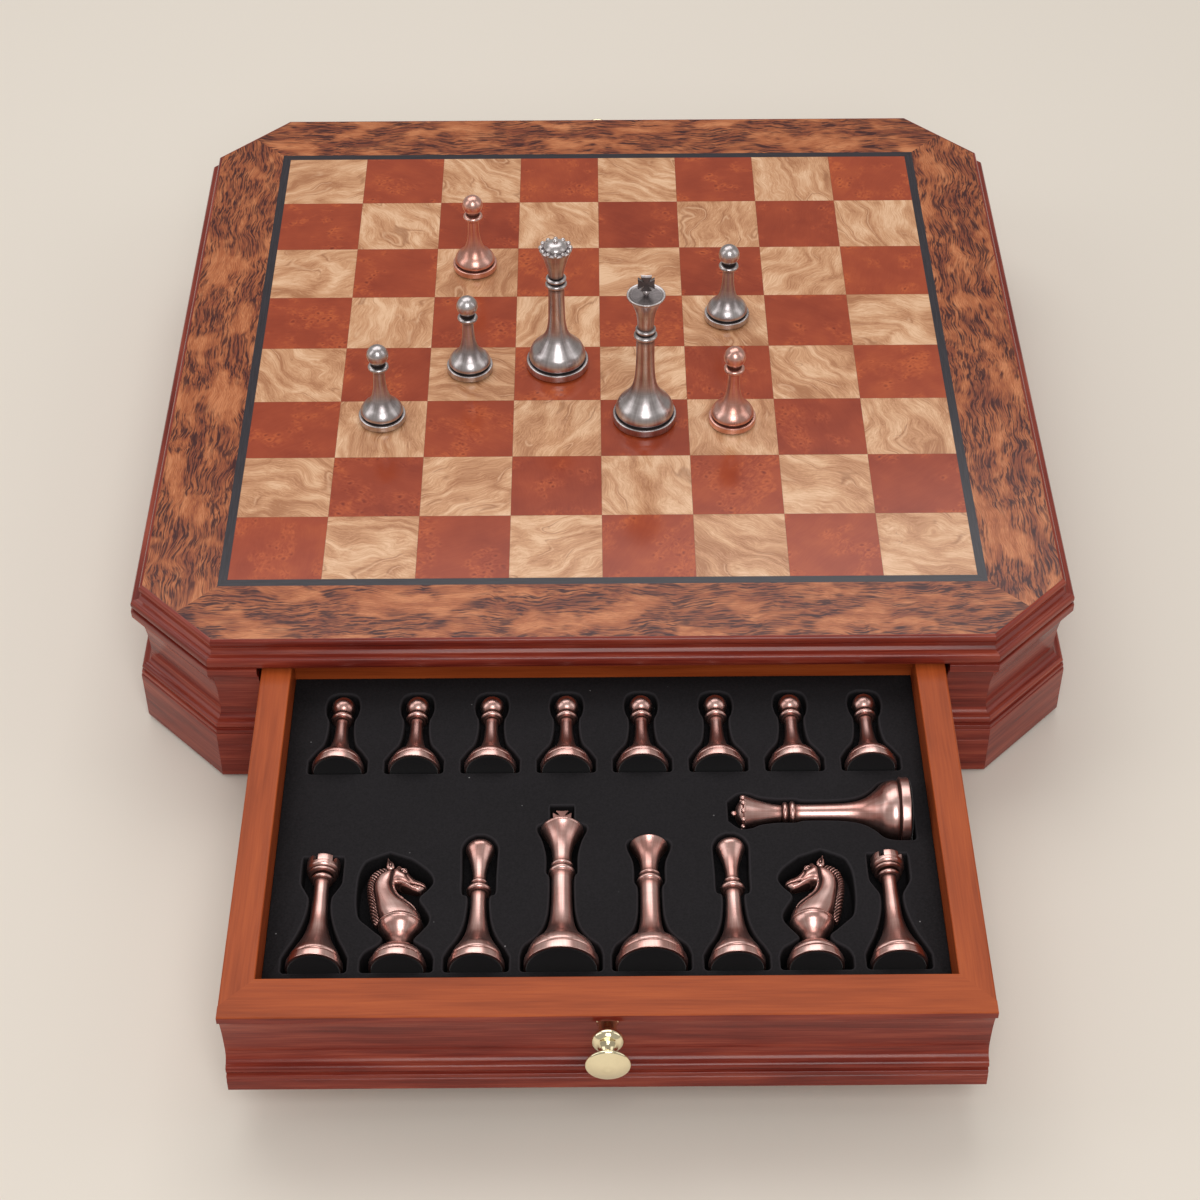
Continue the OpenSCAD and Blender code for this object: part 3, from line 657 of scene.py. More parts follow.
def dark_square_finish(looks):
    """Red-brown burl: quiet straight grain, with lighter mottled places full of small eyes."""
    f = Finish("dark_squares_lacquered")
    p, number, x, y = in_tile(f)
    bent = f.warped(p, 11, (6, 6, 0))
    cloud = f.noise(bent, 17, 3.0, 0.5)
    grain = f.noise(bent, (14, 0.7, 1), 3.0, 0.6)
    fine = f.noise(bent, (2.4, 1.1, 1), 3.0, 0.7)
    eyes = f.cells(bent, 3.6)
    where = f.noise(p, 15, 2.0).between(0.48, 0.64)
    spot = (1 - eyes.between(0.05, 0.26)) * where
    halo = eyes.between(0.2, 0.34) * (1 - eyes.between(0.4, 0.6)) * where
    tone = cloud * 0.42 + 0.14 + grain * 0.14 + (number - 0.5) * 0.14
    tone = tone + (fine - 0.42) * where * 0.7 + halo * 0.12
    colour = f.ramp(tone, (0.28, looks.red_deep), (0.46, looks.red_mid), (0.7, looks.red_light))
    colour = f.mix(spot * 0.6, colour, looks.red_eye)
    colour = f.mix(joint_lines(x, y) * 0.35, colour, looks.red_eye)
    return f.surface(base_color=colour, roughness=0.15 + fine * 0.05, specular=0.36,
                     normal=f.bump(cloud, 0.03, 0.06))


def inlay_finish(looks):
    """Dyed black-grey veneer with faint grain along each strip."""
    f = Finish("dark_inlay_lacquered")
    x, y, _ = f.split(f.place())
    side = abs(x) > abs(y)
    line = f.join(x + (y - x) * side, y + (x - y) * side)
    fibre = f.noise(line, (14, 0.5, 1), 2.0, 0.6)
    colour = f.ramp(fibre, (0.3, looks.inlay_deep), (0.7, looks.inlay_light))
    return f.surface(base_color=colour, roughness=0.2, specular=0.4)


def lacquer_finish(name, looks, wood, gloss, streak=1.0, specular=0.5):
    """Stained wood under lacquer: long streaks and fine pores along the piece's own grain map."""
    f = Finish(name)
    deep, mid, light = (getattr(looks, wood + tone) for tone in ("_deep", "_mid", "_light"))
    p = f.warped(f.grain(), 60, (14, 2.2, 0))
    broad = f.noise(p, (70, 5.5, 1), 2.0, 0.5)
    fine = f.noise(p, (26, 0.8, 1), 3.0, 0.6)
    pore = f.noise(p, (5, 0.22, 1), 1.0, 0.5).between(0.62, 0.8)
    tone = 0.5 + ((broad - 0.5) * 0.7 + (fine - 0.5) * 0.5) * streak
    colour = f.ramp(tone, (0.28, deep), (0.5, mid), (0.74, light))
    colour = f.mix(pore * 0.22, colour, deep)
    return f.surface(base_color=colour, roughness=gloss + (fine - 0.5) * 0.06, specular=specular,
                     normal=f.bump(fine, 0.05, 0.05))


def raw_wood_finish(looks, along_x):
    """Unfinished softwood with growth lines along x or along y."""
    f = Finish("raw_wood_along_x" if along_x else "raw_wood_along_y")
    x, y, z = f.split(f.place())
    p = f.warped(f.join(x, y, z) if along_x else f.join(y, x, z), 80, (20, 6, 6))
    line = f.noise(p, (140, 3.4, 3.4), 3.0, 0.6, 0.4)
    fine = f.noise(p, (16, 0.6, 0.6), 2.0, 0.6)
    colour = f.ramp(line * 0.7 + fine * 0.3, (0.35, looks.raw_deep), (0.6, looks.raw_light))
    return f.surface(base_color=colour, roughness=0.68 + fine * 0.1, normal=f.bump(fine, 0.2, 0.1))


def foam_finish(looks):
    """Black foam with a matt skin: fine cells, a few pale specks of dust, and the pockets' rims painted paler
    as a painted highlight.
    """
    f = Finish("black_foam_matt")
    p = f.place()
    cell = f.cells(p, 0.7)
    mottle = f.noise(p, 0.9, 3.0, 0.75)
    broad = f.noise(p, 45, 2.0)
    dust = f.cells(p, 5.5)
    rare = f.split(f.cells(p, 5.5, "Color"))[0].between(0.9, 0.96)
    speck = (1 - dust.between(0.03, 0.075)) * rare
    colour = f.ramp(mottle * 0.8 + broad * 0.2, (0.34, looks.foam_deep), (0.66, looks.foam_light))
    # painted highlight: the pockets' rims are mixed towards the paler rim colour
    colour = f.mix(f.patina() * 0.6, colour, looks.foam_rim)
    colour = f.mix(speck * 0.7, colour, looks.foam_dust)
    return f.surface(base_color=colour, roughness=0.95, specular=0.15,
                     normal=f.bump(cell * 0.4 + mottle, 0.5, 0.2))


def felt_finish(looks):
    """Short matt fibres."""
    f = Finish("black_felt")
    p = f.place()
    fluff = f.noise(p, 0.5, 3.0, 0.7)
    colour = f.ramp(fluff, (0.3, looks.felt_deep), (0.7, looks.felt_light))
    return f.surface(base_color=colour, roughness=0.97, specular=0.15, sheen_weight=0.2,
                     normal=f.bump(fluff, 0.5, 0.15))


def plated_finish(name, looks, metal):
    """Antiqued plate: bright where it is rubbed, dark in the grooves and where the patina values hold painted
    shade, with brushed and lathe lines.
    """
    f = Finish(name)
    bright, mid, dark = (getattr(looks, metal + tone) for tone in ("_bright", "_mid", "_dark"))
    around, along, _ = f.split(f.grain())
    lathe = f.noise(f.join(around, along), (60, 0.5, 1), 2.0, 0.6)
    brushed = f.noise(f.join(around, along, 4.0), (0.8, 18, 1), 3.0, 0.65)
    stain = f.noise(f.place(), 11, 2.0, 0.5)
    # groove reads the patina values: real patina in the hollows, and painted shade on the mane, under the jaw
    # and on the faces of the king's cross
    groove = f.patina()
    tone = 0.6 + (brushed - 0.5) * 0.3 + (lathe - 0.5) * 0.12 + (stain - 0.5) * 0.3 - groove * 0.8
    colour = f.ramp(tone, (0.08, dark), (0.5, mid), (0.84, bright))
    rough = 0.29 + (stain - 0.5) * 0.06 + groove * 0.3 + (brushed - 0.5) * 0.06
    return f.surface(base_color=colour, metallic=1.0 - groove * 0.25, roughness=rough,
                     normal=f.bump(lathe, 0.25, 0.04))


def brass_finish(looks):
    """Polished pale brass with faint lathe lines."""
    f = Finish("knob_brass_polished")
    around, along, _ = f.split(f.grain())
    lathe = f.noise(f.join(around, along), (80, 0.3, 1), 2.0, 0.6)
    haze = f.noise(f.place(), 5, 2.0)
    colour = f.mix(f.patina() * 0.6 + haze * 0.15, looks.brass_light, looks.brass_deep)
    return f.surface(base_color=colour, metallic=1.0, roughness=0.1 + haze * 0.08,
                     normal=f.bump(lathe, 0.04, 0.02))


def steel_finish(looks):
    """Zinc plate with a soft cloudy tone."""
    f = Finish("screw_steel_zinc")
    cloud = f.noise(f.place(), 2.0, 3.0, 0.6)
    colour = f.ramp(cloud, (0.3, looks.steel_deep), (0.7, looks.steel_light))
    return f.surface(base_color=colour, metallic=1.0, roughness=0.28 + cloud * 0.12)


def floor_finish(looks):
    """Plain pale paper."""
    f = Finish("pale_floor")
    return f.surface(base_color=looks.floor_light, roughness=0.9, specular=0.1)


# ---------- what a user would change ----------


TONES = {"light": "Lighter tone", "mid": "Middle tone", "deep": "Deep tone", "streak": "Dark figure",
         "crease": "Folds and eyes", "eye": "Eyes", "rim": "Pocket edges", "dust": "Specks of dust",
         "bright": "Rubbed tone", "dark": "Tone of the grooves"}
WOODS = {
    "burl": ("the border", {"light": "#CC8459", "mid": "#AD633D", "deep": "#80412D", "streak": "#35181D"}),
    "pale": ("the light squares",
             {"light": "#E8BE99", "mid": "#CE9A72", "deep": "#AC744F", "crease": "#8A5534"}),
    "red": ("the dark squares", {"light": "#BA5A31", "mid": "#9F4428", "deep": "#8A351F", "eye": "#611F13"}),
    "inlay": ("the inlaid line", {"light": "#353138", "deep": "#242127"}),
    "lacquer": ("the mouldings", {"light": "#A34C38", "mid": "#812F23", "deep": "#5B1B15"}),
    "drawer": ("the drawers' boards", {"light": "#BA5C2C", "mid": "#A24A22", "deep": "#803516"}),
    "raw": ("the unfinished boards", {"light": "#CDAA7E", "deep": "#A67C50"}),
}
TRIM = {
    # the foam's rim colour is a painted highlight on the pockets' rounded edges
    "foam": ("the foam", {"light": "#1F1D1F", "deep": "#0D0C0D", "rim": "#3A373A", "dust": "#9A9898"}),
    "felt": ("the felt", {"light": "#151316", "deep": "#070608"}),
    "copper": ("the dark copper plate", {"bright": "#FADFD8", "mid": "#C8948A", "dark": "#38231F"}),
    "rose": ("the light copper plate", {"bright": "#FADAD0", "mid": "#D69C8C", "dark": "#5A3127"}),
    "pewter": ("the pewter plate", {"bright": "#F7F2F2", "mid": "#A89F9F", "dark": "#2B2627"}),
    "brass": ("the brass knobs", {"light": "#FFF3CE", "deep": "#8C6B2E"}),
    "steel": ("the zinc-plated screws", {"light": "#B9BBBE", "deep": "#84868A"}),
    "floor": ("the floor", {"light": "#E5DDD2"}),
}


def colour_properties(materials):
    """Annotations for a colour property of each tone of each material, named like burl_light."""
    return {
        "%s_%s" % (material, tone): FloatVectorProperty(
            name=("%s %s" % (material, tone)).capitalize(), description="%s of %s" % (TONES[tone], where),
            default=linear(colour)[:3], subtype="COLOR", size=3, min=0.0, max=1.0)
        for material, (where, tones) in materials.items()
        for tone, colour in tones.items()
    }


def lamp_power(name, description, default):
    """Property for the watts of a lamp."""
    return FloatProperty(name=name, description=description, default=default, min=0.0, unit="POWER")


class ChessWoods(bpy.types.PropertyGroup):
    """Colours of the woods."""

    __annotations__ = colour_properties(WOODS)


class ChessTrim(bpy.types.PropertyGroup):
    """Colours of the foam, felt, plate and brass, the fineness of the men, and the lights."""

    __annotations__ = colour_properties(TRIM)
    segments: IntProperty(name="Segments", description="Sides of each turned man", default=64,
                          min=24, max=128)
    key: lamp_power("Key light", "Power of the overhead light", 15.0)
    fill: lamp_power("Side lights", "Power of each side light", 3.0)
    front: lamp_power("Front light", "Power of the light over the viewer", 11.0)
    sky: FloatProperty(name="Surroundings", description="Strength of the light all round",
                       default=0.43, min=0.0)


# ---------- moulding profiles, as (outwards, height) ----------


def edge_profile():
    """Two stepped noses round the board, rebated for the veneer."""
    return np.vstack([
        [[-LIPPING, TOP_Z], [4.9, TOP_Z], [5.1, TOP_Z + 0.2]],
        arc((4.3, CASE_H - 9.6), (1.6, 2.6), -60, 90, 14),
        [[2.6, CASE_H - 6.95], [2.2, CASE_H - 6.8], [1.2, CASE_H - 5.8], [1, CASE_H - 5.5],
         [1, CASE_H - 4.8]],
        arc((0, CASE_H - 2.2), (1.7, 2.2), -60, 90, 14),
        [[0, CASE_H - VENEER], [-LIPPING, CASE_H - VENEER]],
    ])


COVE_OUT = 6.2
COVE_LOW = CASE_H - 49.6


def cove_points(high):
    """Outer run of the cove moulding, from the bottom bead up to the fillet at height high."""
    return np.vstack([
        arc((COVE_OUT - 0.5, CASE_H - 49.4), (0.5, 0.5), 0, 90, 6),
        [[5.0, CASE_H - 48.85], [4.9, CASE_H - 48.7]],
        arc((3.9, CASE_H - 46.6), (1.8, 1.8), -50, 80, 14),
        arc((4.2, CASE_H - 40), (3.4, 4.7), 270, 180, 12),
        arc((5.8, CASE_H - 40), (5, 24), 180, 90, 28),
        [[COVE_OUT, CASE_H - 16.3]],
        soften([[COVE_OUT, high - 1.2], [COVE_OUT, high], [5.0, high]], 0.6)[1:],
    ])


def cove_profile():
    """The cove moulding between the plinth and the edge moulding, with a flat back."""
    return np.vstack([
        [[-WALL, PLINTH_Z], [6, PLINTH_Z], [COVE_OUT, PLINTH_Z + 0.3], [COVE_OUT, COVE_LOW]],
        cove_points(TOP_Z), [[-WALL, TOP_Z]],
    ])


def face_profile():
    """The cove moulding with a flat band below it, and points where its ends turn."""
    low, out, band = DRAWER_LOW, PLINTH_OUT, PLINTH_Z
    return np.vstack([
        [[-WALL, low], [SHOULDER, low], [out - 0.4, low], [out, low + 0.4], [out, band - 0.6],
         [out - 0.15, band - 0.2], [out - 0.5, band], [COVE_OUT, band + 0.1], [COVE_OUT, COVE_LOW]],
        cove_points(DRAWER_TOP),
        [[SHOULDER, DRAWER_TOP], [-WALL + 0.5, DRAWER_TOP], [-WALL + 0.1, DRAWER_TOP - 0.15],
         [-WALL, DRAWER_TOP - 0.6]],
    ])


def plinth_profile(low=FOOT_T, high=PLINTH_Z):
    """Flat rail with eased edges."""
    return soften([[-WALL, low], [PLINTH_OUT, low], [PLINTH_OUT, high], [-WALL, high]], 0.6, closed=True)


def mitred(profile, at, half, degrees, shift):
    """A bar of the octagon whose ends follow its mitre planes."""
    place = spun(degrees)
    reach = lambda p: half + MITRE * p[:, 0] - GLUE
    return bar(profile, lambda p: -reach(p), reach, lambda q: place(q + np.array([0, at, 0])), shift)


def ring_of_bars(profile, sides=SIDES, slants=SLANTS, shift=0):
    """Mitred lengths along some or all of the octagon's sides."""
    shape = Shape()
    for k, degrees in enumerate(sides):
        shape.more(mitred(profile, EDGE, CORNER, degrees, shift + NEXT_LENGTH * k))
    for k, degrees in enumerate(slants):
        along = shift + FIRST_SLANT + NEXT_LENGTH * k
        shape.more(mitred(profile, SLANT_EDGE, SLANT_HALF, degrees, along))
    return shape


def stile_bars(profile, degrees, shift):
    """The lengths of moulding left and right of one drawer opening."""
    turn = spun(degrees)
    place = lambda q: turn(q + np.array([0, EDGE, 0]))
    reach = lambda p: CORNER + MITRE * p[:, 0] - GLUE
    inner = lambda p: np.full(len(p), OPENING_HALF)
    shape = bar(profile, inner, reach, place, shift)
    return shape.more(bar(profile, lambda p: -reach(p), lambda p: -inner(p), place, shift))


# ---------- pieces ----------


def dress(piece, body, slot, *nodes):
    """Ties a piece to its body and hides the solids it stands for; its material slot is not used."""
    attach(piece, body)
    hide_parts(*nodes)
    return piece


def level(piece):
    """Normals that follow the large faces, so that flats stay flat beside their rounded edges."""
    steady = piece.modifiers.new("steady_normals", "WEIGHTED_NORMAL")
    steady.keep_sharp = True
    return piece


def coat(material, *nodes):
    """Puts a material on solids that are shown as they are."""
    for node in nodes:
        slots = NODES[node].data.materials
        slots.clear()
        slots.append(material)


def plank(thickness):
    """Section of a drawer's side or back, with eased edges."""
    corners = [[0, DRAWER_LOW], [thickness, DRAWER_LOW], [thickness, DRAWER_TOP], [0, DRAWER_TOP]]
    return soften(corners, 0.7, closed=True)


def drawer_face(place, shift):
    """The moulded face; its top edge is in the second finish."""
    section = face_profile()
    end = lambda p: DRAWER_HALF - np.clip(SHOULDER - p[:, 0], 0, None)
    face = bar(section, lambda p: -end(p), end, lambda q: place(q * np.array([1, -1, 1])), shift, SHOULDER)
    faces, grain, _ = face.faces[0]
    top = np.minimum(section[:, 1], np.roll(section[:, 1], -1)) > DRAWER_TOP - 0.25
    face.faces[0] = (faces[~top], grain[~top], 0)
    face.faces.append((faces[top], grain[top], 1))
    return face


def drawer_sides(place, shift):
    """The side boards, from the face to the drawer's end."""
    sides = Shape()
    for hand in (-1, 1):
        upright = lambda q, h=hand: place(np.column_stack([h * (DRAWER_INNER + q[:, 1]), q[:, 0], q[:, 2]]))
        sides.more(bar(plank(DRAWER_HALF - DRAWER_INNER), lambda p: WALL - p[:, 0],
                       lambda p: np.full(len(p), DRAWER_END), upright, shift + 500 * hand))
    return sides


def drawer_back(place, shift):
    """The back board, between the sides."""
    half = lambda p: np.full(len(p), DRAWER_INNER)
    behind = lambda q: place(np.column_stack([q[:, 0], DRAWER_END - BACK_T + q[:, 1], q[:, 2]]))
    return bar(plank(BACK_T), lambda p: -half(p), half, behind, shift)


def outline_corner(half):
    """Rounded corner at a pocket's foot end."""
    return arc((half - 1.4, 0.2), (1.4, 1.4), -90, 0, 5)


# right side of each kind of pocket, as (half width, distance from the foot's end)
PAWN_SIDE = [[12, 6], [9.4, 10.5], [6.4, 15], [5.2, 22], [5.2, 28.5], [6.4, 32], [6.9, 37], [5.6, 42],
             [2.4, 43.8]]
KING_SIDE = [[15.6, 6.4], [14.2, 10.8], [10, 14.8], [7, 19.6], [5.2, 27], [4.7, 36], [4.8, 45], [6, 47.4],
             [6, 53], [6.4, 58], [7.8, 64], [9.6, 68.6], [9.4, 71.2], [6.4, 72.6], [4.8, 73.8], [4.8, 82]]
PLAIN_QUEEN_SIDE = [[15, 6.4], [13.4, 10.8], [9.6, 14.4], [6.6, 18.6], [5, 25], [4.6, 33], [4.7, 39.6],
                    [5.9, 42.4], [5.9, 48], [6.4, 53], [8.2, 58.4], [8.6, 61.4], [7.4, 63.4]]
QUEEN_SIDE = [[15.6, 6.4], [14.2, 11], [10, 15], [6.8, 20], [5.2, 28], [5, 42], [6, 46.4], [6, 53],
              [7, 60], [8.8, 64], [9, 68.4], [5, 73]]
BISHOP_SIDE = [[12.4, 5.8], [10.4, 10], [7.8, 14.2], [5.6, 20], [4.4, 27], [4.2, 35.2], [6.4, 37.2],
               [6.6, 46], [6.9, 56], [6.8, 60.6], [4.8, 64.6], [1.6, 66.6]]
ROOK_SIDE = [[12.4, 5.8], [10.6, 10], [8.2, 15], [5.8, 22], [4.4, 29], [4.3, 35], [5.8, 38.4], [7.6, 42],
             [8, 45], [8, 55.6]]
KNIGHT_RIGHT = [[13.4, 5], [11.8, 8.8], [7.8, 11.8], [5.4, 14.2], [8.2, 18.4], [10.6, 22], [11, 25.4],
                [9, 29.8], [7, 33.2], [7.2, 35.8], [10.2, 39.4], [11.9, 43.6], [9.4, 48.6], [3.2, 54.2]]
KNIGHT_LEFT = [[-14.2, 4.6], [-12.4, 8.4], [-7.4, 12.2], [-6.4, 15.4], [-9.4, 18.4], [-12.2, 21.2],
               [-15.8, 25], [-17, 30], [-17.4, 35], [-17.4, 41], [-17, 46.6], [-15.8, 50.8], [-13.6, 54],
               [-5.6, 57.8]]


def pocket_loop(right, left=None):
    """Closed outline of a pocket: up its right side, down its left, point by point opposite."""
    right = np.vstack([outline_corner(right[0][0]), spline(right, 5)])
    other = right * [-1, 1]
    if left is not None:
        other = np.vstack([outline_corner(-left[0][0]) * [-1, 1], spline(left, 5)])
    return np.vstack([right, other[::-1]])


def offset(loop, by):
    """Loop moved outwards by a distance along its normals."""
    way = np.roll(loop, -1, 0) - np.roll(loop, 1, 0)
    way /= np.maximum(np.linalg.norm(way, axis=1), TINY)[:, None]
    return loop + by * np.column_stack([way[:, 1], -way[:, 0]])


# each kind's sides, the radius of its head and of its foot, and how far the deep end goes
POCKETS = {
    "pawn": ((PAWN_SIDE,), 4.9, 10.7, 12),
    "rook": ((ROOK_SIDE,), 6.9, 11.2, 14),
    "bishop": ((BISHOP_SIDE,), 6, 11.2, 13.4),
    "knight": ((KNIGHT_RIGHT, KNIGHT_LEFT), 9, 11.2, 12.6),
    "king": ((KING_SIDE,), 8.7, 14.8, 15),
    "plain_queen": ((PLAIN_QUEEN_SIDE,), 7.8, 14.2, 14),
    "queen": ((QUEEN_SIDE,), 8, 14.8, 15),
}


def pocket(kind, spot, lie="straight"):
    """A pocket's outline round its spot in the drawer, with the height of its floor at each point."""
    sides, head_r, foot_r, deep_to = POCKETS[kind]
    loop = pocket_loop(*sides)
    floor = AXIS_Z - np.where(loop[:, 1] < deep_to, foot_r, head_r) - REST_GAP
    if lie == "mirrored":
        loop, floor = (loop * [-1, 1])[::-1], floor[::-1]
    if lie == "across":
        loop = np.column_stack([-loop[:, 1], loop[:, 0]])
    return loop + spot, floor


def pockets():
    """The pockets of one drawer: a row of pawns, the court, and a queen lying across."""
    court = (("rook", 0), ("rook", 7), ("bishop", 2), ("bishop", 5), ("king", 3), ("plain_queen", 4),
             ("knight", 1))
    return (
        [pocket("pawn", (x, PAWN_ROW)) for x in PAWN_X]
        + [pocket(kind, (COURT_X[seat], COURT_ROW)) for kind, seat in court]
        + [pocket("knight", (COURT_X[6], COURT_ROW), "mirrored"), pocket("queen", SIDE_QUEEN, "across")]
    )


# a pocket's rounded rim: how far outside the outline, how far below the foam's top, and how pale it is
# painted, a painted highlight along the rounded edge
RIM = ((1.0, 0.0, 0.35), (0.62, 0.1, 1.0), (0.3, 0.35, 1.0), (0.08, 0.8, 0.6), (0.0, 1.5, 0.1))
# the turn from its wall to its floor: how far outside the outline, and how far above the floor
HEEL = ((0.0, 0.8), (-0.25, 0.2), (-0.7, 0.0))


def foam_shape(place):
    """Slab with pockets: a rounded rim and a plumb wall carried round each outline, over a stepped
    floor. The slab's top is a flat face with the pockets' rims as holes."""
    shape = Shape()
    half = DRAWER_INNER - FOAM_GAP
    near, far = WALL + FOAM_GAP, DRAWER_END - BACK_T - FOAM_GAP
    slab = np.array([[-half, near], [half, near], [half, far], [-half, far]])
    holes = []
    for loop, floor in pockets():
        n = len(loop)
        rings = [(offset(loop, out), np.full(n, FOAM_Z - down)) for out, down, _ in RIM]
        rings += [(offset(loop, out), floor + up) for out, up in HEEL]
        points = np.stack([np.column_stack(ring) for ring in rings])
        # pale is the painted highlight on each pocket's rim, carried in the patina values
        pale = np.repeat([tone for _, _, tone in RIM] + [0] * len(HEEL), n)
        girth = lengths(np.vstack([loop, loop[:1]])) * MM
        depth = (FOAM_Z - floor).mean()
        down = np.array([0, 0.4, 0.8, 1.2, 2, depth - 1, depth, depth + 0.5]) * MM
        walls, grain = quads(len(rings), n, True)[:, ::-1], quad_map(girth, down)[:, ::-1]
        start = shape.count
        shape.add(place(points.reshape(-1, 3)), walls, grain, pale)
        last = start + (len(rings) - 1) * n
        k = np.arange(n // 2 - 1)
        strip = np.column_stack([last + k, last + k + 1, last + n - 2 - k, last + n - 1 - k])
        shape.faces.append((strip, np.zeros((len(strip), 4, 2)), 0))
        holes.append((start, points[0]))
    base = shape.count
    low, high = (np.column_stack([slab, np.full(4, z)]) for z in (FOAM_LOW, FOAM_Z))
    sides = np.array([[k, (k + 1) % 4, 4 + (k + 1) % 4, 4 + k] for k in range(4)] + [[3, 2, 1, 0]])
    shape.add(place(np.vstack([low, high])), sides, np.zeros((5, 4, 2)))
    rings = [[Vector(p) for p in ring] for ring in [high] + [points for _, points in holes]]
    numbers = np.concatenate([base + 4 + np.arange(4)] + [start + np.arange(len(p)) for start, p in holes])
    top = numbers[np.array(tessellate_polygon(rings))]
    shape.faces.append((top, np.zeros((len(top), 3, 2)), 0))
    return shape


def knob_shape(place):
    """Stem, ball, ringed neck and domed disc, turned about the knob's axis."""
    profile = np.vstack([
        [[0, 0]], soften([[3.6, 0], [4.3, 0], [4.3, 1], [3.5, 1.6], [3.4, 5.2], [3.7, 6.4]], 0.3),
        arc((0, 9.6), (6.2, 3.5), -50, 50, 22),
        spline([[3.6, 12.7], [2.9, 14], [2.55, 15.3]], 4), collar(3.1, 16, 0.4),
        spline([[2.65, 16.6], [3.4, 17.4], [5.8, 18.7], [7.7, 19.4]], 6)[:-1],
        arc((7.7, 20.2), (0.7, 0.8), -60, 90, 10),
        spline([[6.4, 21.65], [3.4, 22.5], [0.8, 22.85]], 6), [[0, 22.87]],
    ])
    out = lambda p: np.column_stack([p[:, 0], -KNOB_SEAT - p[:, 2], KNOB_Z + p[:, 1]])
    return turned(profile).moved(lambda p: place(out(p)))


# ---------- the men, standing at the origin ----------


def foot(r, band_top):
    """Edge of the foot, its band and the dark groove over it."""
    edge = [[r - 1.2, FELT], [r, FELT], [r, band_top - 0.1]]
    groove = [[r - 1.1, band_top], [r - 1.6, band_top + 0.1], [r - 1.7, band_top + 0.7]]
    return soften(edge + groove, 0.35, steps=4)


def felt_disc(r):
    """The felt under a foot of radius r, a little smaller and rounded at its edge."""
    edge = [[r - 1.4, 0], [r - 1.0, 0.15], [r - 0.9, FELT - 0.1], [r - 1.1, FELT]]
    return turned([[0, 0]] + edge + [[0, FELT]], 48, finish=1, patina=0.0)


def figure(r, band_top, parts, segments):
    """A turned man: metal from the foot up, part by part of its profile, with the felt under it."""
    profile = np.vstack([[[0, FELT]], foot(r, band_top), *parts])
    keep = np.concatenate([[True], np.linalg.norm(np.diff(profile, axis=0), axis=1) > CLOSE])
    return turned(profile[keep], segments).more(felt_disc(r))


def pawn(segments):
    """A ball over a collar on a flared stem."""
    return figure(10.7, 3.8, [
        spline([[9.6, 4.9], [9.7, 5.4], [9.4, 6.6], [8.2, 8.4], [6.3, 10.2], [4.8, 12.5], [3.7, 15.6],
                [3, 19.5], [2.7, 24], [2.6, 29.1]], 5),
        bead(4.7, 30.5, 1.1), [[3.1, 31.8], [2.95, 32.1], [3.1, 33.1]],
        arc((0, 37.1), (4.9, 4.9), -52, 90, 22)], segments)


def ribbon_plate(outline, half, edge):
    """Flat plate in the x z plane: the outline carried through its thickness with rounded edges."""
    n = len(outline)
    inset = offset(outline, -edge)
    rings = ((inset, -half), (outline, -half + edge), (outline, half - edge), (inset, half))
    points = np.stack([np.column_stack([ring[:, 0], np.full(n, y), ring[:, 1]]) for ring, y in rings])
    # The plate's rounded edges get 0.15 and its flat faces 0.5: on the king's cross the faces are painted
    # darker as a painted dark reflection, and the edges stay bright as painted highlights.
    shape = Shape().add(points.reshape(-1, 3), quads(4, n, True), np.zeros((3 * n, 4, 2)), 0.15)
    c = np.arange(n)
    fan = np.column_stack([c, (c + 1) % n, np.full(n, n)])
    for ring in points[[0, 3]]:
        shape.add(np.vstack([ring, ring.mean(0)]), fan, np.zeros((n, 3, 2)), 0.5)
    return shape


def cross(centre, reach, half):
    """Cross with four arms that flare to their ends."""
    flare = [[1.0, 0.4], [1.5, 0.72], [0.66 * reach, 1.0], [0.45 * reach, 0.97]]
    side = [[x, share * reach] for x, share in flare]
    arm = soften([[0.75, 0.75]] + side + [[0, 0.92 * reach]] + [[-x, z] for x, z in side[::-1]], 0.2)
    turns = [np.array([[math.cos(a), math.sin(a)], [-math.sin(a), math.cos(a)]])
             for a in np.arange(4) / 4 * math.tau]
    outline = np.vstack([arm @ turn for turn in turns])[::-1]
    return ribbon_plate(outline, half, 0.2).moved(lambda p: p + [0, 0, centre])


def king(segments):
    """A cup with a ball and a cross in it, on a stem with two collars."""
    body = figure(14.4, 4.4, [
        spline([[13.1, 5.5], [13.3, 6.4], [13.0, 8.0], [11.9, 10.4], [9.5, 13.1], [7.5, 15.9],
                [5.8, 19.4], [4.8, 24], [4.3, 30], [4.1, 38], [4.1, 46.4]], 5),
        [[4.2, 46.8]], collar(5.3, 48.2, 1.1), [[4.0, 49.7]], collar(4.6, 51.4, 0.7), [[3.7, 52.3]],
        spline([[3.6, 52.6], [3.7, 55], [4.1, 59], [4.8, 62.2], [5.9, 65.2], [7.3, 67.8], [8.4, 69.4]], 5),
        soften([[8.6, 69.9], [8.5, 70.5], [7.6, 70.4], [7.1, 69.8], [4, 69.4]], 0.3), [[0, 69.6]]], segments)
    body.more(turned([[0, 69], [0.9, 69], [0.9, 74], [0, 74]], 20, patina=0.3))
    body.more(turned([[0, 69.3], [6.9, 69.4], [6.9, 69.85], [0, 69.75]], segments, patina=0.4))
    body.more(ball((0, 0, 71.4), (1.6, 1.6, 1.6), 10, 20, patina=0.1))
    return body.more(cross(76.4, 3.6, 0.9))


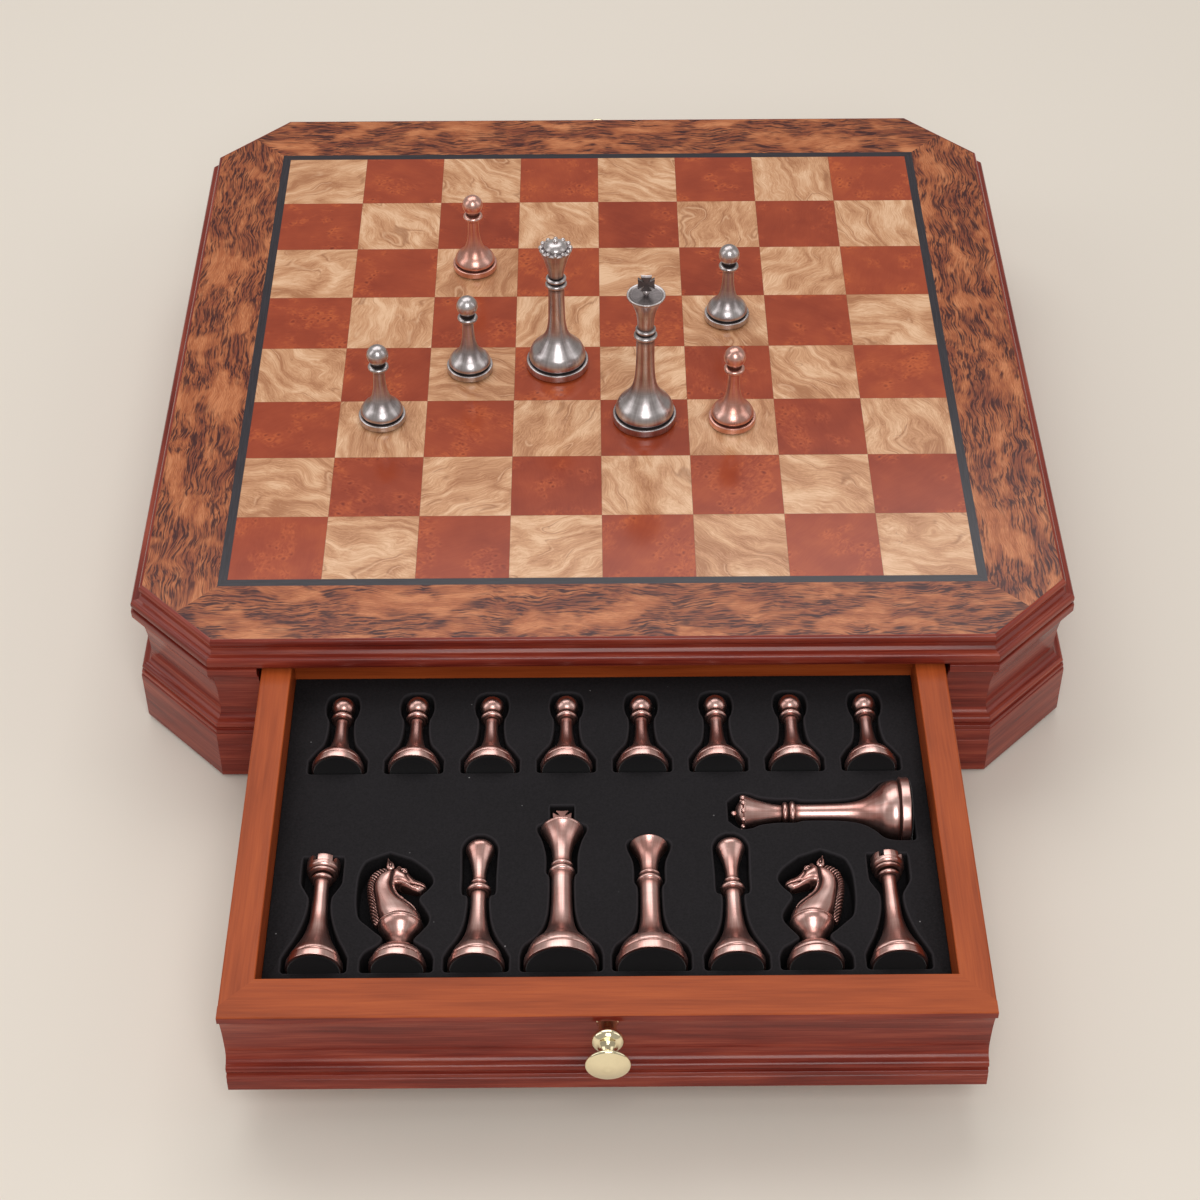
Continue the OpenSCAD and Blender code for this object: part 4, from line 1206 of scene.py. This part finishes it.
def queen(segments):
    """A cup with a beaded rim, a dome and a ball, on a stem with two collars."""
    body = figure(14.4, 4.4, [
        spline([[13.1, 5.5], [13.2, 6.6], [12.9, 8.4], [11.7, 11], [9.4, 13.4], [7.4, 15.8], [5.7, 18.6],
                [4.7, 21.8], [4.0, 27], [3.8, 34], [3.7, 40], [3.7, 45.4]], 5),
        [[3.8, 45.9]], collar(5.0, 47.2, 1.1), [[3.8, 48.6]], collar(4.7, 50.2, 0.9), [[3.4, 51.3]],
        spline([[3.4, 51.8], [4, 55.6], [5.4, 60.8], [6.9, 64.8], [7.4, 66.1]], 6),
        soften([[7.5, 66.5], [7.3, 66.9], [6, 66.8], [5.5, 66.9]], 0.2),
        spline([[5.4, 67.1], [4.9, 68.3], [3.2, 69.6], [1.2, 70.2], [0.5, 70.3]], 5), [[0, 70.3]]], segments)
    body.more(ball((0, 0, 70.7), (1.3, 1.3, 1.3), 10, 20))
    return body.more(ring_of_balls(12, 6.7, 67.05, (1.12, 1.12, 1.18), 8, 12))


def plain_queen(segments):
    """A queen whose head is a plain flared cup."""
    return figure(13.8, 4.4, [
        spline([[12.5, 5.5], [12.7, 6.4], [12.4, 7.8], [11.2, 10.4], [8.7, 12.6], [6.6, 14.8],
                [5.2, 17.8], [4.4, 21.8], [4.0, 27], [3.9, 34], [3.9, 41.6]], 5),
        [[4.0, 42]], collar(5.1, 43.4, 1.1), [[3.9, 44.9]], collar(4.4, 46.4, 0.7), [[3.4, 47.3]],
        spline([[3.3, 47.6], [3.4, 50], [3.8, 53.2], [4.6, 56.2], [6, 59], [7.2, 60.8]], 6),
        soften([[7.6, 61.3], [7.4, 61.9], [6.8, 61.8], [6.3, 61.3], [3, 61]], 0.25), [[0, 61.1]]], segments)


def bishop(segments):
    """A slim bud with a fine tip, over two collars."""
    return figure(10.9, 3.9, [
        spline([[9.8, 5.0], [10, 5.7], [9.7, 6.8], [8.9, 8.8], [7.6, 11], [6.2, 13.8], [5, 16.8], [4.1, 20.6],
                [3.5, 25.4], [3.1, 31], [3.0, 37.2]], 5),
        [[3.1, 37.8]], collar(4.9, 39.3, 1.2), [[2.8, 40.9], [2.7, 42.1]],
        collar(3.4, 43, 0.6), [[2.6, 43.8]],
        spline([[2.5, 44.2], [2.7, 48.4], [3.5, 53], [4.7, 56.8], [5.7, 59.8], [4.9, 62], [3.2, 63.3],
                [1.1, 64]], 6),
        spline([[0.8, 64.2], [0.7, 64.6], [0.3, 64.8]], 3), [[0, 64.8]]], segments)


def merlon(middle, half_angle, steps=13):
    """Block on the rook's rim: a rounded section in (radius, height) carried through an angle."""
    r, z = soften([[4.9, 51], [6.5, 51], [6.5, 54], [4.9, 54]], 0.25, closed=True).T
    a = (math.radians(middle) + np.linspace(-1, 1, steps) * math.radians(half_angle))[:, None]
    return loft(np.stack([r * np.cos(a), r * np.sin(a), np.broadcast_to(z, (steps, len(z)))], -1))


def rook(segments):
    """A tower with five merlons round a shallow well."""
    body = figure(10.9, 3.9, [
        spline([[9.8, 5.0], [10, 5.8], [9.6, 6.9], [8.6, 9], [7.4, 11.4], [5.9, 14.8], [4.5, 19.2],
                [3.5, 24.8], [3.2, 31], [2.95, 37], [2.9, 43.8]], 5),
        [[3.0, 44.3]], collar(4.5, 45.3, 0.8), [[3.6, 46.3], [3.6, 47.1]],
        collar(5.8, 47.9, 0.6), [[5.3, 48.6]],
        soften([[6.1, 49.1], [6.5, 49.7], [6.5, 51.3], [4.9, 51.3], [4.7, 50.9], [2, 50.8]], 0.2),
        [[0, 50.8]]], segments)
    for k in range(5):
        body.more(merlon(65 + 72 * k, 26.4))
    return body


# horse's neck and head, section by section: rear point, front point (x, z) and half thickness
HORSE = np.array([
    [-8, 22, 8.4, 22, 7.6], [-9.6, 26, 8, 25.2, 7.3], [-10.9, 30, 5.9, 29, 6.6],
    [-11.9, 34.4, 2.6, 32.2, 5.9], [-12.2, 38.8, -0.4, 35, 5.3], [-11.6, 43, -2.4, 38.2, 4.9],
    [-9.6, 46.8, -3, 40.6, 4.6], [-6, 49.4, -1.8, 41, 4.5], [-2.2, 50.2, -0.2, 40.4, 4.4],
    [1, 49, 1.2, 39.6, 4], [2.9, 46.4, 2.7, 39, 3.4], [4.8, 44.6, 4.4, 38.4, 2.8],
    [7, 43.5, 6.2, 38, 2.4], [8.7, 42.3, 7.9, 38.8, 1.9], [9.4, 41.2, 9, 40, 0.9],
])

# combed mane along the crest, from the withers up to between the ears, in the same way
MANE = np.array([
    [-9.7, 21.8, -7.8, 23.2, 0.9], [-11, 24.6, -8, 25.6, 1.7], [-12, 28.6, -9, 29.6, 2],
    [-12.8, 33, -9.8, 33.8, 2.2], [-13.6, 37.6, -10.6, 37.4, 2.2], [-13.7, 42.4, -10.8, 41, 2.2],
    [-12.4, 46.9, -9.8, 44.2, 2], [-9.4, 50, -8, 46.8, 1.6], [-5.6, 51, -4.8, 48.6, 0.9],
])
HAIR_PITCH = 1.75
# lower edge of the jaw, in the x z plane
JAW = np.array([[-2.8, 41.4], [0.4, 41.0], [2.6, 40.1], [4.6, 39.2], [6.4, 38.7], [8, 38.9]])


def horse_skin(rows, steps, around, flat=0.8):
    """Sections between rear and front points: half ellipses each side of a middle point, rounded
    by half thickness y, with the sides made flatter by a power below one. Angle 0 is the front,
    90 the horse's left."""
    s = spline(rows, steps)
    rear, front, half = s[:, None, 0:2], s[:, None, 2:4], s[:, 4:]
    a = np.arange(around) / around * math.tau
    bulged = lambda wave, power: np.sign(wave) * np.abs(wave) ** power
    ahead, aside = bulged(np.cos(a), 0.92), bulged(np.sin(a), flat)
    plan = (rear + front) / 2 + (front - rear) / 2 * ahead[None, :, None]
    return np.stack([plan[..., 0], half * aside, plan[..., 1]], -1)


def near_path(points, path):
    """Distance in the x z plane from each point to a polyline."""
    flat = points[:, [0, 2]]
    gaps = []
    for a, b in zip(path[:-1], path[1:]):
        way = b - a
        t = np.clip(((flat - a) @ way) / (way @ way), 0, 1)
        gaps.append(np.linalg.norm(flat - a - t[:, None] * way, axis=1))
    return np.min(gaps, axis=0)


def on_skin(flat, path, lift=0.0):
    """Points of the x z plane laid on the near side of a skin, lifted off it by a distance."""
    side = flat[flat[:, 1] > 0.3]
    gap = np.hypot(side[None, :, 0] - path[:, None, 0], side[None, :, 2] - path[:, None, 1])
    return np.column_stack([path[:, 0], side[gap.argmin(1), 1] + lift, path[:, 1]])


def mane():
    """Ridge of hair: the skin's half thickness waves with the distance along the crest, the waves
    slanting up towards the outer edge low down and down towards it near the ears."""
    steps, around = 22, 36
    skin = horse_skin(MANE, steps, around, 0.7)
    n = len(skin)
    crest = spline(MANE[:, :2], steps)
    along = lengths(crest)[:, None]
    a = np.arange(around) / around * math.tau
    out = 0.5 - 0.5 * np.cos(a)[None]
    slant = np.interp(np.arange(n) / n, [0, 0.45, 0.72, 1], [-4.5, -3.6, 1.4, 2.8])[:, None]
    wave = np.sin((along + slant * out) / HAIR_PITCH * math.tau)
    fade = np.interp(np.arange(n) / n, [0, 0.06, 0.94, 1], [0, 1, 1, 0])[:, None]
    skin[..., 1] *= 1.12 + 0.2 * wave * fade
    # Painted shade: the whole mane is darkened as if it lay in shadow, and only the crests of the hair waves
    # stay pale; the dark troughs between the hairs are partly patina as well.
    tone = 0.9 - 1.6 * np.clip(wave, 0, 1)
    return loft(skin, patina=np.clip(tone, 0, 1))


def horse():
    """Neck and head with cheeks, eyes, nostrils, a mouth, ears, forelock, reins and mane. Each
    feature widens or narrows the skin by a bell curve of the distance from a point or a line."""
    skin = horse_skin(HORSE, 9, 96)
    flat = skin.reshape(-1, 3)
    tone = np.zeros(len(flat))

    def carve(path, width, amount, shade=0.0):
        bell = np.exp(-((near_path(flat, np.asarray(path, float)) / width) ** 2))
        flat[:, 1] *= 1 + amount * bell
        tone[:] += shade * bell

    carve([[-1.4, 45.8], [-0.2, 43.8]], 2.6, 0.1)
    carve(spline([[2.2, 47], [3.8, 44.5], [6.4, 42.5]], 5), 0.8, -0.1, 0.15)
    carve(spline([[-0.2, 49], [1.2, 48.4], [2.3, 46.9]], 5), 0.7, 0.12)
    carve([[0.0, 47.2], [0.6, 47.0]], 1.3, -0.22, 1.2)
    carve(spline([[1.2, 46.2], [1.6, 44.2], [2.8, 42.6]], 5), 0.55, -0.08, 0.6)
    carve([[8.1, 41.9], [8.4, 41.7]], 0.45, -0.4, 0.9)
    carve(spline([[3.6, 41.2], [5.6, 41], [7.4, 40.6], [9.4, 40.1]], 5), 0.34, -0.45, 0.95)
    carve(spline(JAW[:5] + [0, 0.25], 6), 0.45, 0.16, -0.3)
    carve(spline(JAW[:5] + [0, 1.1], 6), 0.35, -0.06, 0.4)
    strap = spline([[-3.4, 49.4], [-3.9, 46.4], [-4.2, 43.4], [-4.4, 40.4], [-3.4, 36.4], [-1.2, 33],
                    [2.2, 30.4], [5.4, 27.6]], 7)
    carve(strap, 0.75, -0.16, 1.0)
    t = np.clip((near_path(flat, spline(MANE[:, :2], 6)) - 2.3) / 2.0, 0, 1)
    panel = np.where(flat[:, 2] > 22.5, t * t * (3 - 2 * t), 1)
    flat[:, 1] *= 0.3 + 0.7 * panel
    tone += 1.1 * (1 - panel)
    # Painted shade under the jaw: the skin just below the jaw line is darkened.
    jaw = np.interp(flat[:, 0], JAW[:, 0], JAW[:, 1])
    tone += 1.0 * np.clip((jaw - 0.25 - flat[:, 2]) / 0.5, 0, 1) * (flat[:, 0] > -3) * (flat[:, 2] > 37.4)
    shape = loft(flat.reshape(skin.shape), patina=np.clip(tone, 0, 1).reshape(skin.shape[:2]))
    eye = on_skin(flat, np.array([[0.2, 47.2]]), -0.05)[0]
    rein = on_skin(flat, spline([[-3.5, 41.4], [-2.9, 38.6], [-1.6, 35.6], [0.6, 33.2], [3.4, 31],
                                 [5.6, 28.2], [6, 26.4]], 7), 0.05)
    ear = spline([[-4.7, 2.5, 48.2], [-4.85, 2.9, 49.1], [-5.15, 3.05, 50.5], [-5.6, 2.85, 51.9],
                  [-5.95, 2.4, 53.3], [-6.2, 2.0, 54.7]], 5)
    up = np.linspace(0, 1, len(ear))
    width = np.interp(up, [0, 0.08, 0.2, 0.35, 0.55, 0.78, 1], [0.35, 1.1, 1.5, 1.6, 1.15, 0.45, 0.12])
    hollow = ear[4:-9] + [0.05, 0.5, 0]
    hollow_width = np.interp(np.linspace(0, 1, len(hollow)), [0, 0.3, 1], [0.4, 0.95, 0.3])
    lids = [spline([eye + [-reach, 0, 0], eye + [-0.2, 0.35, rise], eye + [reach, -0.15, -0.3]], 5)
            for rise, reach in ((0.95, 1.35), (-0.85, 1.2))]
    left = [ball(eye, (0.6, 0.5, 0.45), 8, 14, patina=0.0), tube(lids[0], 0.2, 6), tube(lids[1], 0.2, 6),
            tube(rein, np.linspace(0.42, 0.22, len(rein)), 8), tube(ear, width, 16, 0.5),
            tube(hollow, hollow_width, 12, 0.45, patina=1.0),
            ball(hollow[len(hollow) // 3] + [0, 0.35, 0.2], (0.3, 0.25, 0.6), 6, 10)]
    for hand in (-1, 1):
        for feature in left:
            shape.more(feature.moved(lambda p, h=hand: p * [1, h, 1], hand < 0))
    forelock = ((-3.0, 0.8, 50.5, 0.8), (-2.0, -0.9, 50.6, 0.9), (-1.0, 0.9, 50.5, 1.0),
                (0.0, -0.5, 50.0, 1.0))
    for x, y, z, lean in forelock:
        tuft = spline([[x - 0.9, y, z - 0.9], [x, y, z + 0.5], [x + lean, y * 1.4, z],
                       [x + lean * 1.4, y * 1.6, z - 1.5]], 4)
        shape.more(tube(tuft, np.linspace(0.5, 0.15, len(tuft)), 8, patina=0.45))
    return shape.more(mane())


def knight(segments, beaded):
    """A horse's head on a turned base; one of each pair has a row of beads round its foot."""
    body = figure(10.9, 3.9, [
        spline([[9.8, 5.0], [9.9, 5.7], [9.6, 6.6], [8.5, 8.4], [6.4, 9.7], [4.6, 10.6]], 5),
        [[3.9, 11.1]],
        spline([[3.5, 11.7], [3.3, 13.4], [3.9, 15.2], [5.9, 17.2], [7.6, 19.4], [8.3, 21.2]], 6),
        [[8.3, 21.6]], collar(8.8, 22.2, 0.4),
        spline([[8.3, 22.7], [7.9, 23.6], [7.2, 24.5]], 4), [[0, 24.6]]], segments)
    if beaded:
        body.more(ring_of_balls(26, 9.75, 4.9, (0.5, 0.5, 0.42), 6, 8))
    return body.more(horse())


# ---------- placing the men ----------


def lying(x, y, drawer):
    """On the foam, foot at y, head into the case, the man's rear turned down."""
    return lambda p: drawer(np.column_stack([x + p[:, 0], y + p[:, 2], AXIS_Z - p[:, 1]]))


def lying_across(drawer):
    """On the foam with the head towards the middle of the drawer."""
    x, y = SIDE_QUEEN
    return lambda p: drawer(np.column_stack([x - p[:, 2], y + p[:, 0], AXIS_Z - p[:, 1]]))


def standing(spot):
    """Upright on the board."""
    return lambda p: p + [*spot, CASE_H]


def handed(place):
    """The same place for a man turned left to right."""
    return lambda p: place(p * [-1, 1, 1])


# the court from left to right: name in the front drawer, kind, and name among the silver men
COURT = (("rook_left", "rook", "rooks"), ("knight_left", "beaded_knight", "knights"),
         ("bishop_left", "bishop", "bishops"), ("king", "king", "king_and_plain_queen"),
         ("plain_queen", "plain_queen", "king_and_plain_queen"), ("bishop_right", "bishop", "bishops"),
         ("knight_right", "knight", "knights"), ("rook_right", "rook", "rooks"))


def men_by_node(segments):
    """Every node of men with its shape, body and slot."""
    made = {make.__name__: make(segments) for make in (pawn, rook, bishop, king, queen, plain_queen)}
    made.update(knight=knight(segments, False), beaded_knight=knight(segments, True))
    men = {}

    def put(node, slot, kind, place, body=None, mirrored=False):
        shape = made[kind].moved(handed(place) if mirrored else place, mirrored)
        if node in men:
            men[node][0].more(shape)
        else:
            men[node] = (shape, body or node, slot)

    for drawer, slot, body in ((in_front, "dark_copper", None), (at_rear, "pewter", "rear_drawer")):
        for (name, kind, stored), x in zip(COURT, COURT_X):
            node = "silver_" + stored if body else "copper_" + name
            put(node, slot, kind, lying(x, COURT_ROW, drawer), body, kind == "knight")
        put("silver_spare_queen" if body else "copper_queen", slot, "queen", lying_across(drawer), body)
        for i, x in enumerate(PAWN_X, 1):
            node = "silver_pawns" if body else "copper_pawn_%d" % i
            put(node, slot, "pawn", lying(x, PAWN_ROW, drawer), body)
    for metal, slot, spots in (("bright", "bright_copper", BRIGHT_SPOTS), ("silver", "pewter", SILVER_SPOTS)):
        for i, spot in enumerate(spots, 1):
            put("%s_pawn_%d" % (metal, i), slot, "pawn", standing(spot))
    put("silver_king", "pewter", "king", standing(KING_SPOT))
    put("silver_queen", "pewter", "queen", standing(QUEEN_SPOT))
    return men


# ---------- operators ----------


class CHESSBOX_OT_board(bpy.types.Operator):
    """Lacquers the border, the inlaid line and the squares."""

    bl_idname = "chessbox.board"
    bl_label = "Board veneers"

    def execute(self, context):
        woods = context.scene.chess_woods
        coat(burl_border_finish(woods), "burl_border")
        coat(light_square_finish(woods), "light_squares")
        coat(dark_square_finish(woods), "dark_squares")
        coat(inlay_finish(woods), "inlay_line")
        return {"FINISHED"}


class CHESSBOX_OT_mouldings(bpy.types.Operator):
    """Makes the edge moulding, coves, stiles and plinth of the case."""

    bl_idname = "chessbox.mouldings"
    bl_label = "Case mouldings"

    def execute(self, context):
        woods = context.scene.chess_woods
        wood = [lacquer_finish("dark_lacquer_gloss", woods, "lacquer", 0.2, specular=0.3)]
        cove = cove_profile()
        # the last number of each call says where its figure starts, in mm
        plinth = ring_of_bars(plinth_profile(), SIDES[1::2], SLANTS, 5000)
        for degrees in (0, 180):
            plinth.more(mitred(plinth_profile(high=RUN_Z), EDGE, CORNER, degrees, 9000 + degrees))
            plinth.more(stile_bars(plinth_profile(low=RUN_Z), degrees, 9500 + degrees))
        stiles = stile_bars(cove, 0, 7000).more(stile_bars(cove, 180, 7600))
        for name, shape, node in (
            ("edge_noses", ring_of_bars(edge_profile()), "edge_moulding"),
            ("side_coves", ring_of_bars(cove, SIDES[1::2], (), 3000), "side_mouldings"),
            ("corner_coves", ring_of_bars(cove, (), SLANTS, 4000), "corner_mouldings"),
            ("opening_coves", stiles, "opening_stiles"),
            ("plinth", plinth, "plinth_rails"),
        ):
            dress(level(shape.build(name, wood)), "case", "dark_lacquer", node)
        return {"FINISHED"}


class CHESSBOX_OT_carcass(bpy.types.Operator):
    """Finishes the boards inside the case, the screws and the felt feet."""

    bl_idname = "chessbox.carcass"
    bl_label = "Inner boards and feet"

    def execute(self, context):
        woods, trim = context.scene.chess_woods, context.scene.chess_trim
        coat(raw_wood_finish(woods, True), "top_core", "divider", "base_panel", "glue_blocks")
        coat(raw_wood_finish(woods, False), "inner_walls", "front_drawer_bottom", "rear_drawer_bottom")
        coat(steel_finish(trim), "base_screws", "front_knob_screw", "rear_knob_screw")
        rim = soften([[FOOT_R / 2, 0], [FOOT_R, 0], [FOOT_R, FOOT_T], [FOOT_R / 2, FOOT_T]], 0.4)
        pad = turned(np.vstack([[[0, 0]], rim, [[0, FOOT_T]]]), 40, patina=0)
        pads = Shape()
        for degrees in SLANTS:
            pads.more(pad.moved(lambda p, turn=spun(degrees): turn(p + [0, FOOT_OUT, 0])))
        dress(pads.build("felt_feet", [felt_finish(trim)]), "case", "black_felt", "foot_pads")
        return {"FINISHED"}


class CHESSBOX_OT_drawers(bpy.types.Operator):
    """Makes the faces, sides and backs of the drawers."""

    bl_idname = "chessbox.drawers"
    bl_label = "Drawers"

    def execute(self, context):
        woods = context.scene.chess_woods
        dark = lacquer_finish("drawer_face_gloss", woods, "lacquer", 0.2, specular=0.3)
        warm = lacquer_finish("drawer_wood_gloss", woods, "drawer", 0.3, 0.7, 0.16)
        # shift says where a drawer's figure starts, in mm
        for (name, place), shift in zip(DRAWERS, (12000, 16000)):
            body = name + "_drawer"
            face = drawer_face(place, shift).build(name + "_face_moulding", [dark, warm])
            sides = drawer_sides(place, shift + 900).build(name + "_side_boards", [warm])
            back = drawer_back(place, shift + 2000).build(name + "_back_board", [warm])
            dress(level(face), body, "dark_lacquer", body + "_face")
            dress(level(sides), body, "drawer_wood", body + "_sides")
            dress(level(back), body, "drawer_wood", body + "_back")
        return {"FINISHED"}


class CHESSBOX_OT_foam(bpy.types.Operator):
    """Makes the foam trays with a soft-edged pocket for each man."""

    bl_idname = "chessbox.foam"
    bl_label = "Foam trays"

    def execute(self, context):
        foam = [foam_finish(context.scene.chess_trim)]
        for name, place in DRAWERS:
            piece = foam_shape(place).build(name + "_foam_tray", foam, 50)
            dress(level(piece), name + "_drawer", "black_foam", name + "_foam")
        return {"FINISHED"}


class CHESSBOX_OT_knobs(bpy.types.Operator):
    """Turns the brass knobs."""

    bl_idname = "chessbox.knobs"
    bl_label = "Knobs"

    def execute(self, context):
        brass = [brass_finish(context.scene.chess_trim)]
        for name, place in DRAWERS:
            piece = knob_shape(place).build(name + "_brass_knob", brass, 40)
            dress(piece, name + "_drawer", "knob_brass", name + "_knob")
        return {"FINISHED"}


class CHESSBOX_OT_men(bpy.types.Operator):
    """Turns and casts the chessmen."""

    bl_idname = "chessbox.men"
    bl_label = "Chessmen"

    def execute(self, context):
        trim = context.scene.chess_trim
        felt = felt_finish(trim)
        metal = {
            "dark_copper": plated_finish("dark_copper_plate", trim, "copper"),
            "bright_copper": plated_finish("light_copper_plate", trim, "rose"),
            "pewter": plated_finish("pewter_plate", trim, "pewter"),
        }
        for node, (shape, body, slot) in men_by_node(trim.segments).items():
            dress(shape.build("cast_" + node, [metal[slot], felt], 40), body, slot, node)
        return {"FINISHED"}


class CHESSBOX_OT_stage(bpy.types.Operator):
    """Sets the floor, the lights and the camera."""

    bl_idname = "chessbox.stage"
    bl_label = "Stage"

    def execute(self, context):
        trim = context.scene.chess_trim
        corners = np.array([[-1, -1, 0], [1, -1, 0], [1, 1, 0], [-1, 1, 0]]) * FLOOR_REACH
        floor = Shape().add(corners, [[0, 1, 2, 3]], np.zeros((1, 4, 2))).build("floor", [floor_finish(trim)])
        for name, power, size, at in (
            ("key", trim.key, (2.0, 1.2), (-0.2, 0.75, 1.7)),
            ("front", trim.front, (0.7, 1.0), (0.1, -1.35, 1.3)),
            ("left", trim.fill, (0.6, 1.2), (-1.4, -0.2, 0.9)),
            ("right", trim.fill * 0.7, (0.6, 1.2), (1.4, -0.2, 0.9)),
        ):
            lamp = bpy.data.lights.new(name, "AREA")
            lamp.shape, lamp.energy = "RECTANGLE", power
            lamp.size, lamp.size_y = size
            spot = bpy.data.objects.new(name, lamp)
            spot.location = at
            spot.rotation_euler = (Vector(LIT_PLACE) - Vector(at)).to_track_quat("-Z", "Y").to_euler()
            context.scene.collection.objects.link(spot)
        world = bpy.data.worlds.new("soft_room")
        context.scene.world = world
        world.use_nodes = True
        room = world.node_tree.nodes["Background"]
        room.inputs["Color"].default_value = linear(ROOM_COLOUR)
        room.inputs["Strength"].default_value = trim.sky
        camera = bpy.data.cameras.new("camera")
        camera.lens, camera.sensor_width, camera.sensor_fit = CAMERA_LENS, SENSOR, "HORIZONTAL"
        camera.clip_end = 50
        eye = bpy.data.objects.new("camera", camera)
        eye.location, eye.rotation_euler = CAMERA_PLACE, CAMERA_TURN
        context.scene.collection.objects.link(eye)
        context.scene.camera = eye
        context.scene.view_settings.view_transform = "Standard"
        return {"FINISHED"}


class CHESSBOX_PT_panel(bpy.types.Panel):
    """Lists the steps in the sidebar."""

    bl_idname = "CHESSBOX_PT_panel"
    bl_label = "Chess box"
    bl_space_type = "VIEW_3D"
    bl_region_type = "UI"
    bl_category = "Chess box"

    def draw(self, context):
        for step in STEPS:
            self.layout.operator(step.bl_idname)
        for group in (context.scene.chess_woods, context.scene.chess_trim):
            for name in group.__annotations__:
                self.layout.prop(group, name)


STEPS = (
    CHESSBOX_OT_stage,
    CHESSBOX_OT_board,
    CHESSBOX_OT_mouldings,
    CHESSBOX_OT_carcass,
    CHESSBOX_OT_drawers,
    CHESSBOX_OT_foam,
    CHESSBOX_OT_knobs,
    CHESSBOX_OT_men,
)
CLASSES = (ChessWoods, ChessTrim) + STEPS + (CHESSBOX_PT_panel,)


def register():
    for entry in CLASSES:
        bpy.utils.register_class(entry)
    bpy.types.Scene.chess_woods = PointerProperty(type=ChessWoods)
    bpy.types.Scene.chess_trim = PointerProperty(type=ChessTrim)


def unregister():
    del bpy.types.Scene.chess_trim
    del bpy.types.Scene.chess_woods
    for entry in reversed(CLASSES):
        bpy.utils.unregister_class(entry)


def main():
    register()
    for step in STEPS:
        area, action = step.bl_idname.split(".")
        getattr(getattr(bpy.ops, area), action)()


if __name__ == "__main__":
    main()
